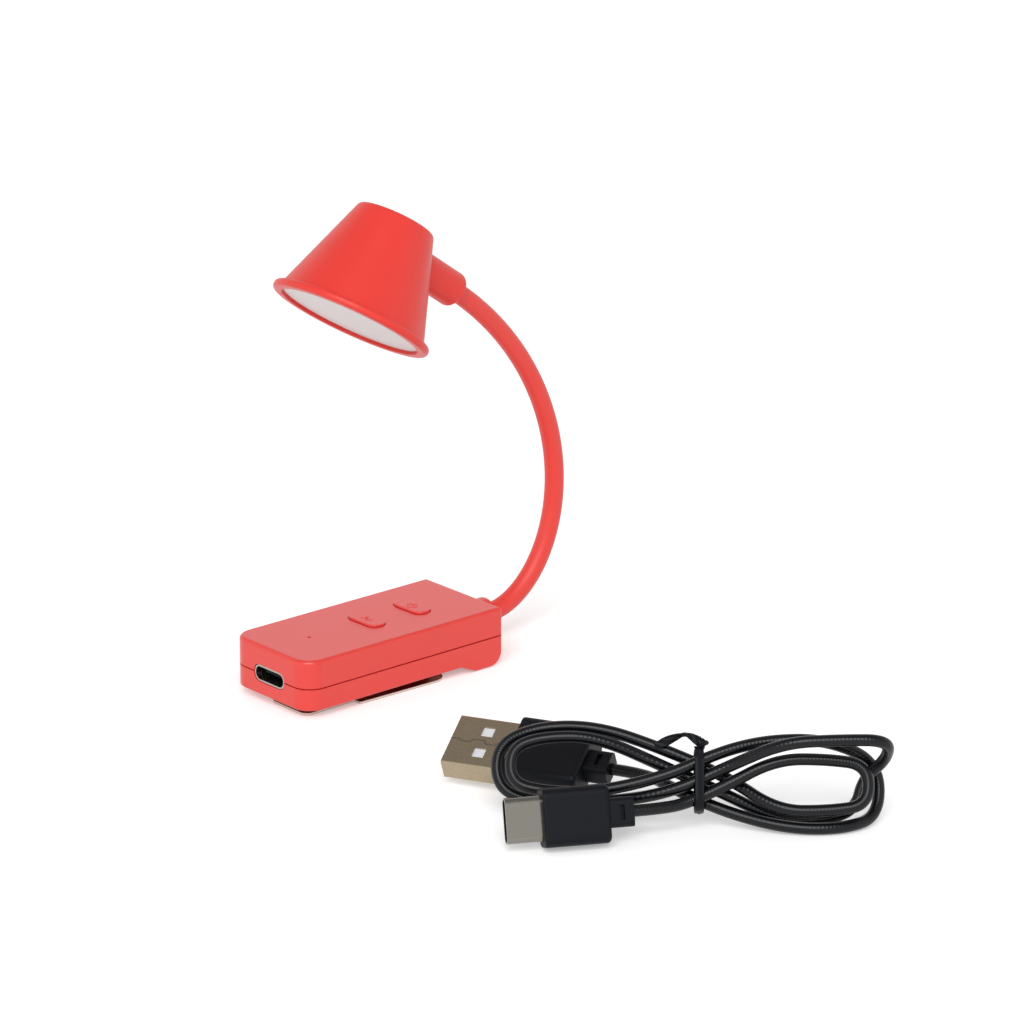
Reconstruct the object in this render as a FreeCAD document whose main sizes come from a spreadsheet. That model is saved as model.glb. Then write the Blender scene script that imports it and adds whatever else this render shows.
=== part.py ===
"""Clip-on rechargeable reading lamp with its charging lead, in millimetres.

+Z is up, -Y is the front of the base and +X its right side. The origin is the middle of the
base in plan, on the surface that the lamp stands on.
"""
import FreeCAD, Part
import math
import os
import re

import Sketcher
from FreeCAD import Placement, Rotation, Vector

doc = FreeCAD.newDocument("reading_lamp")
PARTS = []

# Driving dimensions

SIZES = {
    # base shells
    "base_length": 49.2,
    "base_width": 23.2,
    "base_height": 10.1,
    "seam_height": 4.4,
    "shell_wall": 1.2,
    "front_corner_radius": 4.0,
    "rear_corner_radius": 0.8,
    "top_edge_radius": 0.8,
    "bottom_edge_radius": 0.4,
    "seam_chamfer": 0.18,
    "foot_length": 10.4,
    "foot_slope": 4.2,
    "heel_radius": 3.0,
    "boss_length": 6.0,
    "boss_radius": 3.4,
    "boss_end_radius": 0.9,
    "saddle_width": 8.4,
    "saddle_length": 7.0,
    # clip
    "clip_thickness": 0.5,
    "clip_gap": 1.25,
    "tongue_width": 17.8,
    "tongue_corner_radius": 4.6,
    "tongue_setback": 1.9,
    "wing_inset": 0.2,
    "wing_front_setback": 13.7,
    "wing_rear_setback": 15.0,
    "wing_corner_radius": 3.4,
    "clip_tail_width": 12.0,
    "clip_bend_run": 1.2,
    "clip_tab_length": 3.2,
    "rivet_radius": 0.75,
    "rivet_head_radius": 1.3,
    "rivet_head_height": 0.45,
    "rivet_spacing": 6.4,
    # buttons and switches
    "button_length": 8.7,
    "button_width": 4.0,
    "button_corner_radius": 1.9,
    "button_proud": 0.4,
    "button_edge_radius": 0.25,
    "button_gap": 0.15,
    "button_flange": 0.6,
    "button_flange_height": 0.45,
    "button_travel": 0.25,
    "button_pitch": 11.4,
    "rear_button_setback": 13.5,
    "switch_width": 4.5,
    "switch_height": 1.0,
    "plunger_radius": 1.0,
    "indicator_setback": 10.0,
    "indicator_hole_radius": 0.4,
    # charging port, board and cell
    "port_width": 8.94,
    "port_height": 3.26,
    "port_depth": 7.3,
    "port_wall": 0.3,
    "port_corner_radius": 1.55,
    "port_setback": 0.15,
    "port_clearance": 0.12,
    "port_tongue_width": 6.69,
    "port_tongue_height": 0.7,
    "port_tongue_length": 5.2,
    "board_width": 13.2,
    "board_thickness": 1.0,
    "board_setback": 1.6,
    "board_rear_gap": 9.6,
    "cell_width": 12.0,
    "cell_thickness": 4.0,
    "cell_setback": 10.2,
    "cell_rear_gap": 0.5,
    "cell_edge_radius": 1.2,
    "pad_thickness": 0.3,
    "rail_width": 0.8,
    "rail_clearance": 0.15,
    "cell_lead_radius": 0.35,
    "pin_radius": 0.8,
    "pin_spread": 9.0,
    # screws that hold the shells together
    "screw_radius": 0.85,
    "screw_head_radius": 1.55,
    "screw_head_height": 0.8,
    "screw_clearance": 0.08,
    "screw_post_radius": 1.75,
    "screw_spread": 17.2,
    "front_screw_setback": 6.2,
    "rear_screw_setback": 4.6,
    # neck
    "neck_diameter": 3.85,
    "sleeve_wall": 0.45,
    "sleeve_clearance": 0.12,
    "core_bore_radius": 0.85,
    "socket_clearance": 0.1,
    "link_length": 6.6,
    "first_bend_radius": 13.0,
    "bend_radius_step": 5.3,
    "neck_fit": 0.06,
    "base_collar_radius": 2.6,
    "base_collar_length": 3.4,
    "collar_depth": 2.3,
    "head_collar_length": 4.0,
    "sleeve_in_head": 5.2,
    "lamp_lead_radius": 0.33,
    "lamp_lead_spread": 0.78,
    # head
    "shade_height": 21.8,
    "shade_top_radius": 7.75,
    "shade_rim_radius": 16.1,
    "shade_top_thickness": 1.4,
    "shade_top_edge_radius": 1.1,
    "rim_overhang": 1.3,
    "rim_thickness": 1.6,
    "rim_width": 2.0,
    "rim_edge_radius": 0.7,
    "stub_below_top": 5.5,
    "stub_radius": 3.5,
    "stub_reach": 21.1,
    "stub_edge_radius": 0.9,
    "head_twist": 2.4,
    "lens_thickness": 1.0,
    "lens_recess": 0.7,
    "lens_fit": 0.06,
    "lens_ledge": 1.0,
    "led_board_radius": 8.6,
    "led_board_thickness": 1.0,
    "led_board_depth": 4.0,
    "led_length": 2.8,
    "led_width": 2.2,
    "led_height": 0.7,
    "led_circle_radius": 5.6,
    "led_post_radius": 1.5,
    "led_post_spread": 6.4,
    "led_screw_radius": 0.7,
    "led_screw_head_radius": 1.2,
    "led_screw_head_height": 0.6,
    # charging lead
    "cord_diameter": 2.2,
    "lead_place_x": 97.7,
    "lead_place_y": -3.5,
    "lead_turn": 49.0,
    "hank_tilt": 60.0,
    "hank_height": 8.6,
    "tie_pitch": 3.27,
    "tie_layer": 1.61,
    "tie_slope": 0.456,
    "tie_thickness": 0.9,
    "tie_width": 1.9,
    "tie_clearance": 0.15,
    "usb_c_width": 8.25,
    "usb_c_height": 2.56,
    "usb_c_length": 6.6,
    "usb_c_wall": 0.3,
    "usb_c_corner_radius": 1.2,
    "usb_c_grip_width": 10.6,
    "usb_c_grip_height": 5.8,
    "usb_c_grip_length": 12.2,
    "usb_a_width": 12.0,
    "usb_a_height": 4.5,
    "usb_a_length": 12.1,
    "usb_a_wall": 0.35,
    "usb_a_corner_radius": 0.5,
    "usb_a_window": 2.3,
    "usb_a_window_pitch": 5.2,
    "usb_a_window_place": 6.4,
    "usb_a_grip_width": 14.4,
    "usb_a_grip_height": 7.2,
    "usb_a_grip_length": 14.6,
    "grip_edge_radius": 1.0,
    "relief_width": 5.4,
    "relief_height": 4.2,
    "relief_length": 4.4,
    "relief_slot_width": 0.9,
    "relief_slot_depth": 0.8,
}

LINK_COUNT = 13
LED_COUNT = 6

# Levels and stations worked out from the driving dimensions

PLACES = {
    "base_bottom": "clip_thickness + clip_gap",
    "seam_level": "base_bottom + seam_height",
    "base_top": "base_bottom + base_height",
    "floor_level": "base_bottom + shell_wall",
    "ceiling_level": "base_top - shell_wall",
    "rear_face": "base_length / 2",
    "side_face": "base_width / 2",
    "boss_end": "rear_face + boss_length",
    "inner_side": "side_face - shell_wall",
    "inner_end": "rear_face - shell_wall",
    "inner_corner": "front_corner_radius * 0.6",
    "rear_button_place": "rear_face - rear_button_setback",
    "front_button_place": "rear_button_place - button_pitch",
    "indicator_place": "indicator_setback - rear_face",
    "board_bottom": "seam_level + port_height / 2",
    "board_top": "board_bottom + board_thickness",
    "board_front": "board_setback - rear_face",
    "board_rear": "rear_face - board_rear_gap",
    "cell_bottom": "floor_level + pad_thickness",
    "cell_front": "cell_setback - rear_face",
    "rail_inner": "cell_width / 2 + rail_clearance",
    "port_front": "port_setback - rear_face",
    "screw_front": "front_screw_setback - rear_face",
    "screw_rear": "rear_face - rear_screw_setback",
    "wing_front": "wing_front_setback - rear_face",
    "wing_rear": "rear_face - wing_rear_setback",
    "tail_front": "wing_rear - clip_bend_run",
    "tab_front": "wing_rear + clip_bend_run",
    "tab_rear": "tab_front + clip_tab_length",
    "rivet_place": "tab_front + clip_tab_length / 2",
    "cell_length": "rivet_place - rivet_head_radius - cell_rear_gap - cell_front",
    "neck_radius": "neck_diameter / 2",
    "neck_bore": "neck_radius + neck_fit",
    "sleeve_inner": "neck_radius - sleeve_wall",
    "core_radius": "sleeve_inner - sleeve_clearance",
    "socket_radius": "core_radius + socket_clearance",
    "collar_rear": "rear_face - collar_depth",
    "collar_front": "collar_rear - base_collar_length",
    "saddle_front": "rear_face - saddle_length",
    "rim_level": "stub_below_top - shade_height",
    "lens_radius": "shade_rim_radius - rim_width",
    "cone_rim_radius": "shade_rim_radius - rim_overhang",
    "cone_rim_level": "rim_level + rim_thickness",
    "cone_slope": "(cone_rim_radius - shade_top_radius) / (shade_height - rim_thickness)",
    "shade_ceiling": "stub_below_top - shade_top_thickness",
    "lens_seat": "rim_level + lens_recess + lens_thickness",
    "led_board_top": "-led_board_depth",
    "led_board_bottom": "led_board_top - led_board_thickness",
}


def term(text):
    """The text of an expression, with each name given the sheet that holds it."""

    def with_sheet(found):
        name = found.group()
        if name in SIZES:
            return "sizes." + name
        return "places." + name if name in PLACES else name

    return re.sub(r"[a-z][a-z_]*", with_sheet, text)


def fill_sheet(name, rows):
    sheet = doc.addObject("Spreadsheet::Sheet", name)
    for row, (alias, content) in enumerate(rows.items(), 1):
        sheet.set(f"A{row}", alias)
        sheet.set(f"B{row}", content)
        sheet.setAlias(f"B{row}", alias)
    doc.recompute()
    return sheet


size_sheet = fill_sheet("sizes", {name: str(value) for name, value in SIZES.items()})
fill_sheet("places", {name: "=" + term(text) for name, text in PLACES.items()})


def value(text):
    """The number that an expression of the sheets' names comes to."""
    return float(size_sheet.evalExpression(term(text)))


# Features that the sub-parts are built from


def bind(thing, **texts):
    for name, text in texts.items():
        thing.setExpression(name, term(text))
    return thing


def new_body(label, kept=True):
    part = doc.addObject("PartDesign::Body", label)
    part.Label = label
    if kept:
        PARTS.append(part)
    return part


def keep(thing, label):
    thing.Label = label
    PARTS.append(thing)
    return thing


def new_sketch(part, role, offset="0"):
    """A sketch on one of the body's own planes. An XZ sketch's offset runs towards -Y."""
    plane = next(f for f in part.Origin.OriginFeatures if f.Role == role)
    drawn = part.newObject("Sketcher::SketchObject", part.Name + "_sketch")
    drawn.AttachmentSupport = [(plane, "")]
    drawn.MapMode = "FlatFace"
    drawn.setExpression("AttachmentOffset.Base.z", term(offset))
    return drawn


def pin_point(drawn, curve, end, x, y):
    for kind, text in (("DistanceX", x), ("DistanceY", y)):
        index = drawn.addConstraint(Sketcher.Constraint(kind, curve, end, value(text)))
        drawn.setExpression(f"Constraints[{index}]", term(text))


def draw_outline(drawn, corners):
    """A closed outline of straight sides, each corner bound to its own place."""
    first = drawn.GeometryCount
    count = len(corners)
    spots = [Vector(value(x), value(y), 0) for x, y in corners]
    for here in range(count):
        drawn.addGeometry(Part.LineSegment(spots[here], spots[(here + 1) % count]))
    for here in range(count):
        after = first + (here + 1) % count
        drawn.addConstraint(Sketcher.Constraint("Coincident", first + here, 2, after, 1))
    for here, (x, y) in enumerate(corners):
        pin_point(drawn, first + here, 1, x, y)


def draw_box(drawn, left, right, low, high):
    draw_outline(drawn, [(left, low), (right, low), (right, high), (left, high)])


def draw_circle(drawn, x, y, radius):
    centre = Vector(value(x), value(y), 0)
    curve = drawn.addGeometry(Part.Circle(centre, Vector(0, 0, 1), value(radius)))
    pin_point(drawn, curve, 3, x, y)
    index = drawn.addConstraint(Sketcher.Constraint("Radius", curve, value(radius)))
    drawn.setExpression(f"Constraints[{index}]", term(radius))


def add(part, kind, drawn, **texts):
    """A feature on a sketch. One that cuts has to take material away."""
    before = part.Shape.Volume if part.Tip else 0.0
    feature = part.newObject("PartDesign::" + kind, part.Name + "_" + kind.lower())
    feature.Profile = drawn
    if kind in ("Revolution", "Groove"):
        feature.ReferenceAxis = (drawn, ["V_Axis"])
    feature.Reversed = texts.pop("back", False)
    bind(feature, **texts)
    doc.recompute()
    if kind in ("Pocket", "Groove") and part.Shape.Volume > before - 1e-6:
        raise ValueError(f"{part.Label}: a {kind} cuts nothing")
    return feature


def middle(edge):
    return edge.valueAt((edge.FirstParameter + edge.LastParameter) / 2)


def runs_along(edge, axis):
    start = edge.valueAt(edge.FirstParameter)
    chord = edge.valueAt(edge.LastParameter) - start
    if chord.Length < 1e-6 or (start + chord * 0.5 - middle(edge)).Length > 1e-6:
        return False
    return abs(chord.dot(axis)) > 0.999 * chord.Length


def near(first, second):
    return abs(first - second) < 1e-4


def soften(part, chosen, kind="Fillet", **texts):
    """A fillet or chamfer on the edges of the body so far that chosen picks."""
    base = part.Tip
    names = [f"Edge{n}" for n, edge in enumerate(base.Shape.Edges, 1) if chosen(edge)]
    feature = part.newObject("PartDesign::" + kind, part.Name + "_" + kind.lower())
    feature.Base = (base, names)
    bind(feature, **texts)
    doc.recompute()
    return feature


def hollow(part, opened, wall):
    """The body so far made into a thin shell that is open at the faces that opened picks."""
    base = part.Tip
    names = [f"Face{n}" for n, face in enumerate(base.Shape.Faces, 1) if opened(face)]
    feature = part.newObject("PartDesign::Thickness", part.Name + "_hollow")
    feature.Base = (base, names)
    feature.Reversed = True
    bind(feature, Value=wall)
    doc.recompute()
    return feature


def primitive(kind, where, **texts):
    shape = doc.addObject("Part::" + kind, kind.lower())
    bind(shape, **texts)
    shape.Placement = where
    return shape


def fused(label, pieces):
    joined = doc.addObject("Part::MultiFuse", label)
    joined.Shapes = pieces
    return joined


def cut(label, base, tools):
    cutter = tools[0] if len(tools) == 1 else fused(label + "_tools", tools)
    left = doc.addObject("Part::Cut", label)
    left.Base = base
    left.Tool = cutter
    return left


def group(label, pieces):
    held = doc.addObject("Part::Compound", label)
    held.Links = pieces
    return keep(held, label)


ALONG_X = Vector(1, 0, 0)
ALONG_Y = Vector(0, 1, 0)
ALONG_Z = Vector(0, 0, 1)


def facing(direction):
    """A rotation that turns +Z to a direction."""
    return Rotation(ALONG_Z, direction)


def at(x, y, z, turn=Rotation()):
    return Placement(Vector(x, y, z), turn)


def rod(radius, length, start, direction):
    return primitive("Cylinder", Placement(start, facing(direction)), Radius=radius, Height=length)


def tube_solid(edges, radius):
    """A round solid along joined edges, checked against its section times its length."""
    path = Part.Wire(edges)
    start = edges[0].valueAt(edges[0].FirstParameter)
    heading = edges[0].tangentAt(edges[0].FirstParameter)
    section = Part.Wire(Part.makeCircle(radius, start, heading))
    swept = Part.BRepOffsetAPI.MakePipeShell(path)
    swept.add(section)
    swept.build()
    swept.makeSolid()
    solid = Part.Solid(swept.shape())
    expected = math.pi * radius**2 * path.Length
    if abs(solid.Volume / expected - 1) > 0.01:
        raise ValueError(f"a tube's volume is {solid.Volume / expected:.3f} of its section times length")
    return solid


def arc_from(start, heading, end):
    """The arc that leaves start along heading and ends at end."""
    chord = end - start
    across = chord - heading * chord.dot(heading)
    if across.Length < 1e-7:
        return Part.LineSegment(start, end).toShape()
    across.normalize()
    half = math.atan2(chord.dot(across), chord.dot(heading))
    radius = chord.Length / (2 * math.sin(half))
    centre = start + across * radius
    halfway = centre - across * radius * math.cos(half) + heading * radius * math.sin(half)
    return Part.Arc(start, halfway, end).toShape()


def biarc(start, heading, end, arrival):
    """Two arcs that join start to end with the given directions at both."""
    gap = end - start
    total = heading + arrival
    square = 2 * (heading.dot(arrival) - 1)
    linear = -2 * gap.dot(total)
    if abs(square) < 1e-9:
        reach = -gap.dot(gap) / linear
    else:
        reach = (-linear - math.sqrt(linear**2 - 4 * square * gap.dot(gap))) / (2 * square)
    joint = (start + heading * reach + end - arrival * reach) * 0.5
    first = arc_from(start, heading, joint)
    second = arc_from(end, arrival * -1, joint)
    return [first, second]


# Base shells


def upright(edge):
    return runs_along(edge, ALONG_Z)


def at_front(edge):
    return middle(edge).y < 0


def outer_corner(edge):
    spot = middle(edge)
    return near(abs(spot.x), value("side_face")) and near(abs(spot.y), value("rear_face"))


def draw_cavity(drawn):
    """The inside of a shell, with its front corners cut to follow the outer ones."""
    draw_outline(
        drawn,
        [
            ("-inner_side + inner_corner", "-inner_end"),
            ("inner_side - inner_corner", "-inner_end"),
            ("inner_side", "-inner_end + inner_corner"),
            ("inner_side", "inner_end"),
            ("-inner_side", "inner_end"),
            ("-inner_side", "-inner_end + inner_corner"),
        ],
    )


SCREW_SPOTS = [
    (side + "screw_spread / 2", station)
    for side in ("", "-")
    for station in ("screw_front", "screw_rear")
]
BUTTON_STATIONS = {"brightness": "front_button_place", "power": "rear_button_place"}


def add_boss(part):
    """The rounded boss that the neck leaves, whole, before a shell keeps its half of it."""
    drawn = new_sketch(part, "XZ_Plane", "-inner_end")
    draw_circle(drawn, "0", "seam_level", "boss_radius")
    add(part, "Pad", drawn, back=True, Length="boss_end - inner_end")
    soften(
        part,
        lambda edge: near(middle(edge).y, value("boss_end")),
        Radius="boss_end_radius",
    )


def bore_for_neck(part):
    """The sleeve's bore through the boss and the pocket that traps the ferrule's collar."""
    drawn = new_sketch(part, "XZ_Plane", "-boss_end")
    draw_circle(drawn, "0", "seam_level", "neck_bore")
    add(part, "Pocket", drawn, back=True, Length="boss_length + saddle_length")
    drawn = new_sketch(part, "XZ_Plane", "-collar_rear - neck_fit")
    draw_circle(drawn, "0", "seam_level", "base_collar_radius + neck_fit")
    add(part, "Pocket", drawn, back=True, Length="base_collar_length + 2 * neck_fit")


def cut_port(part):
    """The port's opening through the front wall, with its corners rounded."""
    drawn = new_sketch(part, "XZ_Plane", "rear_face")
    half_width = "port_width / 2 + port_clearance"
    half_height = "port_height / 2 + port_clearance"
    draw_box(
        drawn,
        "-" + half_width.replace("+", "-"),
        half_width,
        "seam_level - port_height / 2 - port_clearance",
        "seam_level + " + half_height,
    )
    add(part, "Pocket", drawn, Length="shell_wall")
    soften(
        part,
        lambda edge: runs_along(edge, ALONG_Y)
        and at_front(edge)
        and near(abs(middle(edge).x), value(half_width))
        and near(abs(middle(edge).z - value("seam_level")), value(half_height)),
        Radius="port_corner_radius",
    )


def make_upper_shell():
    shell = new_body("upper_shell")
    drawn = new_sketch(shell, "XY_Plane", "seam_level")
    draw_box(drawn, "-side_face", "side_face", "-rear_face", "rear_face")
    add(shell, "Pad", drawn, Length="base_top - seam_level")
    soften(shell, lambda e: upright(e) and at_front(e), Radius="front_corner_radius")
    soften(shell, lambda e: upright(e) and outer_corner(e), Radius="rear_corner_radius")
    soften(shell, lambda e: near(middle(e).z, value("base_top")), Radius="top_edge_radius")
    soften(shell, lambda e: near(middle(e).z, value("seam_level")), "Chamfer", Size="seam_chamfer")
    drawn = new_sketch(shell, "XY_Plane", "seam_level")
    draw_cavity(drawn)
    add(shell, "Pocket", drawn, back=True, Length="ceiling_level - seam_level")
    add_boss(shell)
    drawn = new_sketch(shell, "XY_Plane", "seam_level")
    draw_box(drawn, "-saddle_width / 2", "saddle_width / 2", "saddle_front", "inner_end")
    add(shell, "Pad", drawn, Length="ceiling_level - seam_level")
    drawn = new_sketch(shell, "XY_Plane", "seam_level")
    draw_box(drawn, "-boss_radius", "boss_radius", "inner_end", "boss_end")
    add(shell, "Pocket", drawn, Length="boss_radius")
    bore_for_neck(shell)
    drawn = new_sketch(shell, "XY_Plane", "base_top")
    for station in BUTTON_STATIONS.values():
        draw_box(
            drawn,
            "-button_length / 2 - button_gap",
            "button_length / 2 + button_gap",
            station + " - button_width / 2 - button_gap",
            station + " + button_width / 2 + button_gap",
        )
    draw_circle(drawn, "0", "indicator_place", "indicator_hole_radius")
    add(shell, "Pocket", drawn, Length="shell_wall")
    hole_side = value("button_length / 2 + button_gap")
    soften(
        shell,
        lambda e: upright(e) and near(abs(middle(e).x), hole_side) and middle(e).z > value("ceiling_level"),
        Radius="button_corner_radius + button_gap",
    )
    cut_port(shell)
    drawn = new_sketch(shell, "XY_Plane", "seam_level")
    for x, y in SCREW_SPOTS:
        draw_circle(drawn, x, y, "screw_post_radius")
    add(shell, "Pad", drawn, Length="ceiling_level - seam_level")
    drawn = new_sketch(shell, "XY_Plane", "seam_level")
    for x, y in SCREW_SPOTS:
        draw_circle(drawn, x, y, "screw_radius + screw_clearance")
    add(shell, "Pocket", drawn, back=True, Length="(ceiling_level - seam_level) * 0.8")
    drawn = new_sketch(shell, "XY_Plane", "board_top")
    pin_station = "(front_button_place + rear_button_place) / 2"
    draw_circle(drawn, "pin_spread / 2", pin_station, "pin_radius")
    draw_circle(drawn, "-pin_spread / 2", pin_station, "pin_radius")
    add(shell, "Pad", drawn, Length="ceiling_level - board_top")


def make_lower_shell():
    shell = new_body("lower_shell")
    drawn = new_sketch(shell, "XY_Plane", "base_bottom")
    draw_box(drawn, "-side_face", "side_face", "-rear_face", "rear_face")
    add(shell, "Pad", drawn, Length="seam_level - base_bottom")
    drawn = new_sketch(shell, "YZ_Plane", "-side_face")
    foot_front = "rear_face - foot_length"
    draw_outline(
        drawn,
        [
            (foot_front, "base_bottom"),
            (foot_front + " + foot_slope", "0"),
            ("rear_face", "0"),
            ("rear_face", "base_bottom"),
        ],
    )
    add(shell, "Pad", drawn, Length="base_width")
    soften(
        shell,
        lambda e: runs_along(e, ALONG_X) and near(middle(e).y, value("rear_face")) and near(middle(e).z, 0),
        Radius="heel_radius",
    )
    soften(shell, lambda e: upright(e) and at_front(e), Radius="front_corner_radius")
    soften(shell, lambda e: upright(e) and outer_corner(e), Radius="rear_corner_radius")
    soften(
        shell,
        lambda e: near(middle(e).z, value("base_bottom")) and at_front(e),
        Radius="bottom_edge_radius",
    )
    soften(shell, lambda e: near(middle(e).z, value("seam_level")), "Chamfer", Size="seam_chamfer")
    drawn = new_sketch(shell, "XY_Plane", "seam_level")
    draw_cavity(drawn)
    add(shell, "Pocket", drawn, Length="seam_level - floor_level")
    add_boss(shell)
    drawn = new_sketch(shell, "XY_Plane", "floor_level")
    draw_box(drawn, "-saddle_width / 2", "saddle_width / 2", "saddle_front", "inner_end")
    for x, y in SCREW_SPOTS:
        draw_circle(drawn, x, y, "screw_post_radius")
    add(shell, "Pad", drawn, Length="seam_level - floor_level")
    drawn = new_sketch(shell, "XY_Plane", "seam_level")
    draw_box(drawn, "-boss_radius", "boss_radius", "inner_end", "boss_end")
    add(shell, "Pocket", drawn, back=True, Length="boss_radius")
    bore_for_neck(shell)
    drawn = new_sketch(shell, "XY_Plane", "floor_level")
    rail_rear = "cell_front + cell_length"
    draw_box(drawn, "rail_inner", "rail_inner + rail_width", "cell_front", rail_rear)
    draw_box(drawn, "-rail_inner - rail_width", "-rail_inner", "cell_front", rail_rear)
    add(shell, "Pad", drawn, Length="board_bottom - floor_level")
    cut_port(shell)
    drawn = new_sketch(shell, "XY_Plane", "base_bottom")
    for x, y in SCREW_SPOTS:
        draw_circle(drawn, x, y, "screw_radius + screw_clearance")
    for side in ("", "-"):
        draw_circle(drawn, side + "rivet_spacing / 2", "rivet_place", "rivet_radius")
    add(shell, "Pocket", drawn, back=True, Length="seam_height")
    drawn = new_sketch(shell, "XY_Plane", "0")
    for x, y in SCREW_SPOTS:
        draw_circle(drawn, x, y, "screw_head_radius + screw_clearance")
    add(shell, "Pocket", drawn, back=True, Length="base_bottom + screw_head_height")


def make_shell_screws():
    screws = []
    for x, y in SCREW_SPOTS:
        spot = Vector(value(x), value(y), value("base_bottom"))
        head = rod("screw_head_radius", "screw_head_height", spot, ALONG_Z)
        shank_length = "seam_height + (ceiling_level - seam_level) * 0.7"
        shank = rod("screw_radius", shank_length, spot, ALONG_Z)
        screws.append(fused("shell_screw", [head, shank]))
    group("shell_screws", screws)


# Clip


def make_clip_plate():
    """A flat spring blade whose tail steps up to a tab riveted under the base."""
    clip = new_body("clip_plate")
    drawn = new_sketch(clip, "XY_Plane")
    wing = "side_face - wing_inset"
    tongue_front = "tongue_setback - rear_face"
    draw_outline(
        drawn,
        [
            ("-tongue_width / 2", tongue_front),
            ("tongue_width / 2", tongue_front),
            ("tongue_width / 2", "wing_front"),
            (wing, "wing_front"),
            (wing, "wing_rear"),
            ("-side_face + wing_inset", "wing_rear"),
            ("-side_face + wing_inset", "wing_front"),
            ("-tongue_width / 2", "wing_front"),
        ],
    )
    add(clip, "Pad", drawn, Length="clip_thickness")
    soften(
        clip,
        lambda e: upright(e) and near(middle(e).y, value(tongue_front)),
        Radius="tongue_corner_radius",
    )
    soften(
        clip,
        lambda e: upright(e) and near(middle(e).y, value("wing_rear")),
        Radius="wing_corner_radius",
    )
    drawn = new_sketch(clip, "YZ_Plane", "-clip_tail_width / 2")
    draw_outline(
        drawn,
        [
            ("tail_front", "0"),
            ("wing_rear", "0"),
            ("tab_front", "clip_gap"),
            ("tab_rear", "clip_gap"),
            ("tab_rear", "base_bottom"),
            ("tab_front - clip_thickness / 2", "base_bottom"),
            ("wing_rear - clip_thickness / 2", "clip_thickness"),
            ("tail_front", "clip_thickness"),
        ],
    )
    add(clip, "Pad", drawn, Length="clip_tail_width")
    drawn = new_sketch(clip, "XY_Plane", "base_bottom")
    for side in ("", "-"):
        draw_circle(drawn, side + "rivet_spacing / 2", "rivet_place", "rivet_radius")
    add(clip, "Pocket", drawn, Length="clip_thickness")


def make_clip_rivets():
    rivets = []
    for side in (-1, 1):
        x = side * value("rivet_spacing / 2")
        y = value("rivet_place")
        low_spot = Vector(x, y, value("clip_gap - rivet_head_height"))
        low = rod("rivet_head_radius", "rivet_head_height", low_spot, ALONG_Z)
        shank = rod("rivet_radius", "clip_thickness + shell_wall", Vector(x, y, value("clip_gap")), ALONG_Z)
        top = rod("rivet_head_radius", "rivet_head_height", Vector(x, y, value("floor_level")), ALONG_Z)
        rivets.append(fused("clip_rivet", [low, shank, top]))
    group("clip_rivets", rivets)


# Buttons and their switches


def make_button(name, station):
    cap = new_body(name + "_button")
    drawn = new_sketch(cap, "XY_Plane", "ceiling_level - button_flange_height")
    draw_box(
        drawn,
        "-button_length / 2 - button_flange",
        "button_length / 2 + button_flange",
        station + " - button_width / 2 - button_flange",
        station + " + button_width / 2 + button_flange",
    )
    add(cap, "Pad", drawn, Length="button_flange_height")
    drawn = new_sketch(cap, "XY_Plane", "ceiling_level")
    draw_box(
        drawn,
        "-button_length / 2",
        "button_length / 2",
        station + " - button_width / 2",
        station + " + button_width / 2",
    )
    add(cap, "Pad", drawn, Length="shell_wall + button_proud")
    soften(
        cap,
        lambda e: upright(e) and middle(e).z > value("ceiling_level"),
        Radius="button_corner_radius",
    )
    soften(
        cap,
        lambda e: near(middle(e).z, value("base_top + button_proud")),
        Radius="button_edge_radius",
    )


def make_switch(name, station):
    switch = new_body(name + "_switch_body")
    drawn = new_sketch(switch, "XY_Plane", "board_top")
    half = "switch_width / 2"
    draw_box(drawn, "-" + half, half, f"{station} - {half}", f"{station} + {half}")
    add(switch, "Pad", drawn, Length="switch_height")
    drawn = new_sketch(switch, "XY_Plane", "board_top + switch_height")
    draw_circle(drawn, "0", station, "plunger_radius + button_gap")
    add(switch, "Pocket", drawn, Length="switch_height")
    cap_bottom = "ceiling_level - button_flange_height"
    plunger = new_body(name + "_switch_plunger")
    drawn = new_sketch(plunger, "XY_Plane", "board_top + 1.3 * button_travel")
    draw_circle(drawn, "0", station, "plunger_radius")
    add(plunger, "Pad", drawn, Length=f"{cap_bottom} - board_top - 1.3 * button_travel")


# Charging port, board and cell


def make_port():
    shell = new_body("usb_port_shell")
    drawn = new_sketch(shell, "XZ_Plane", "-port_front")
    low = "seam_level - port_height / 2"
    high = "seam_level + port_height / 2"
    draw_box(drawn, "-port_width / 2", "port_width / 2", low, high)
    add(shell, "Pad", drawn, back=True, Length="port_depth")
    soften(shell, lambda e: runs_along(e, ALONG_Y), Radius="port_corner_radius")
    front = value("port_front")
    hollow(shell, lambda face: near(face.CenterOfMass.y, front), "port_wall")
    tongue = new_body("usb_port_tongue")
    drawn = new_sketch(tongue, "XZ_Plane", "-(port_front + port_depth - port_wall)")
    draw_box(
        drawn,
        "-port_tongue_width / 2",
        "port_tongue_width / 2",
        "seam_level - port_tongue_height / 2",
        "seam_level + port_tongue_height / 2",
    )
    add(tongue, "Pad", drawn, Length="port_tongue_length")


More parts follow.
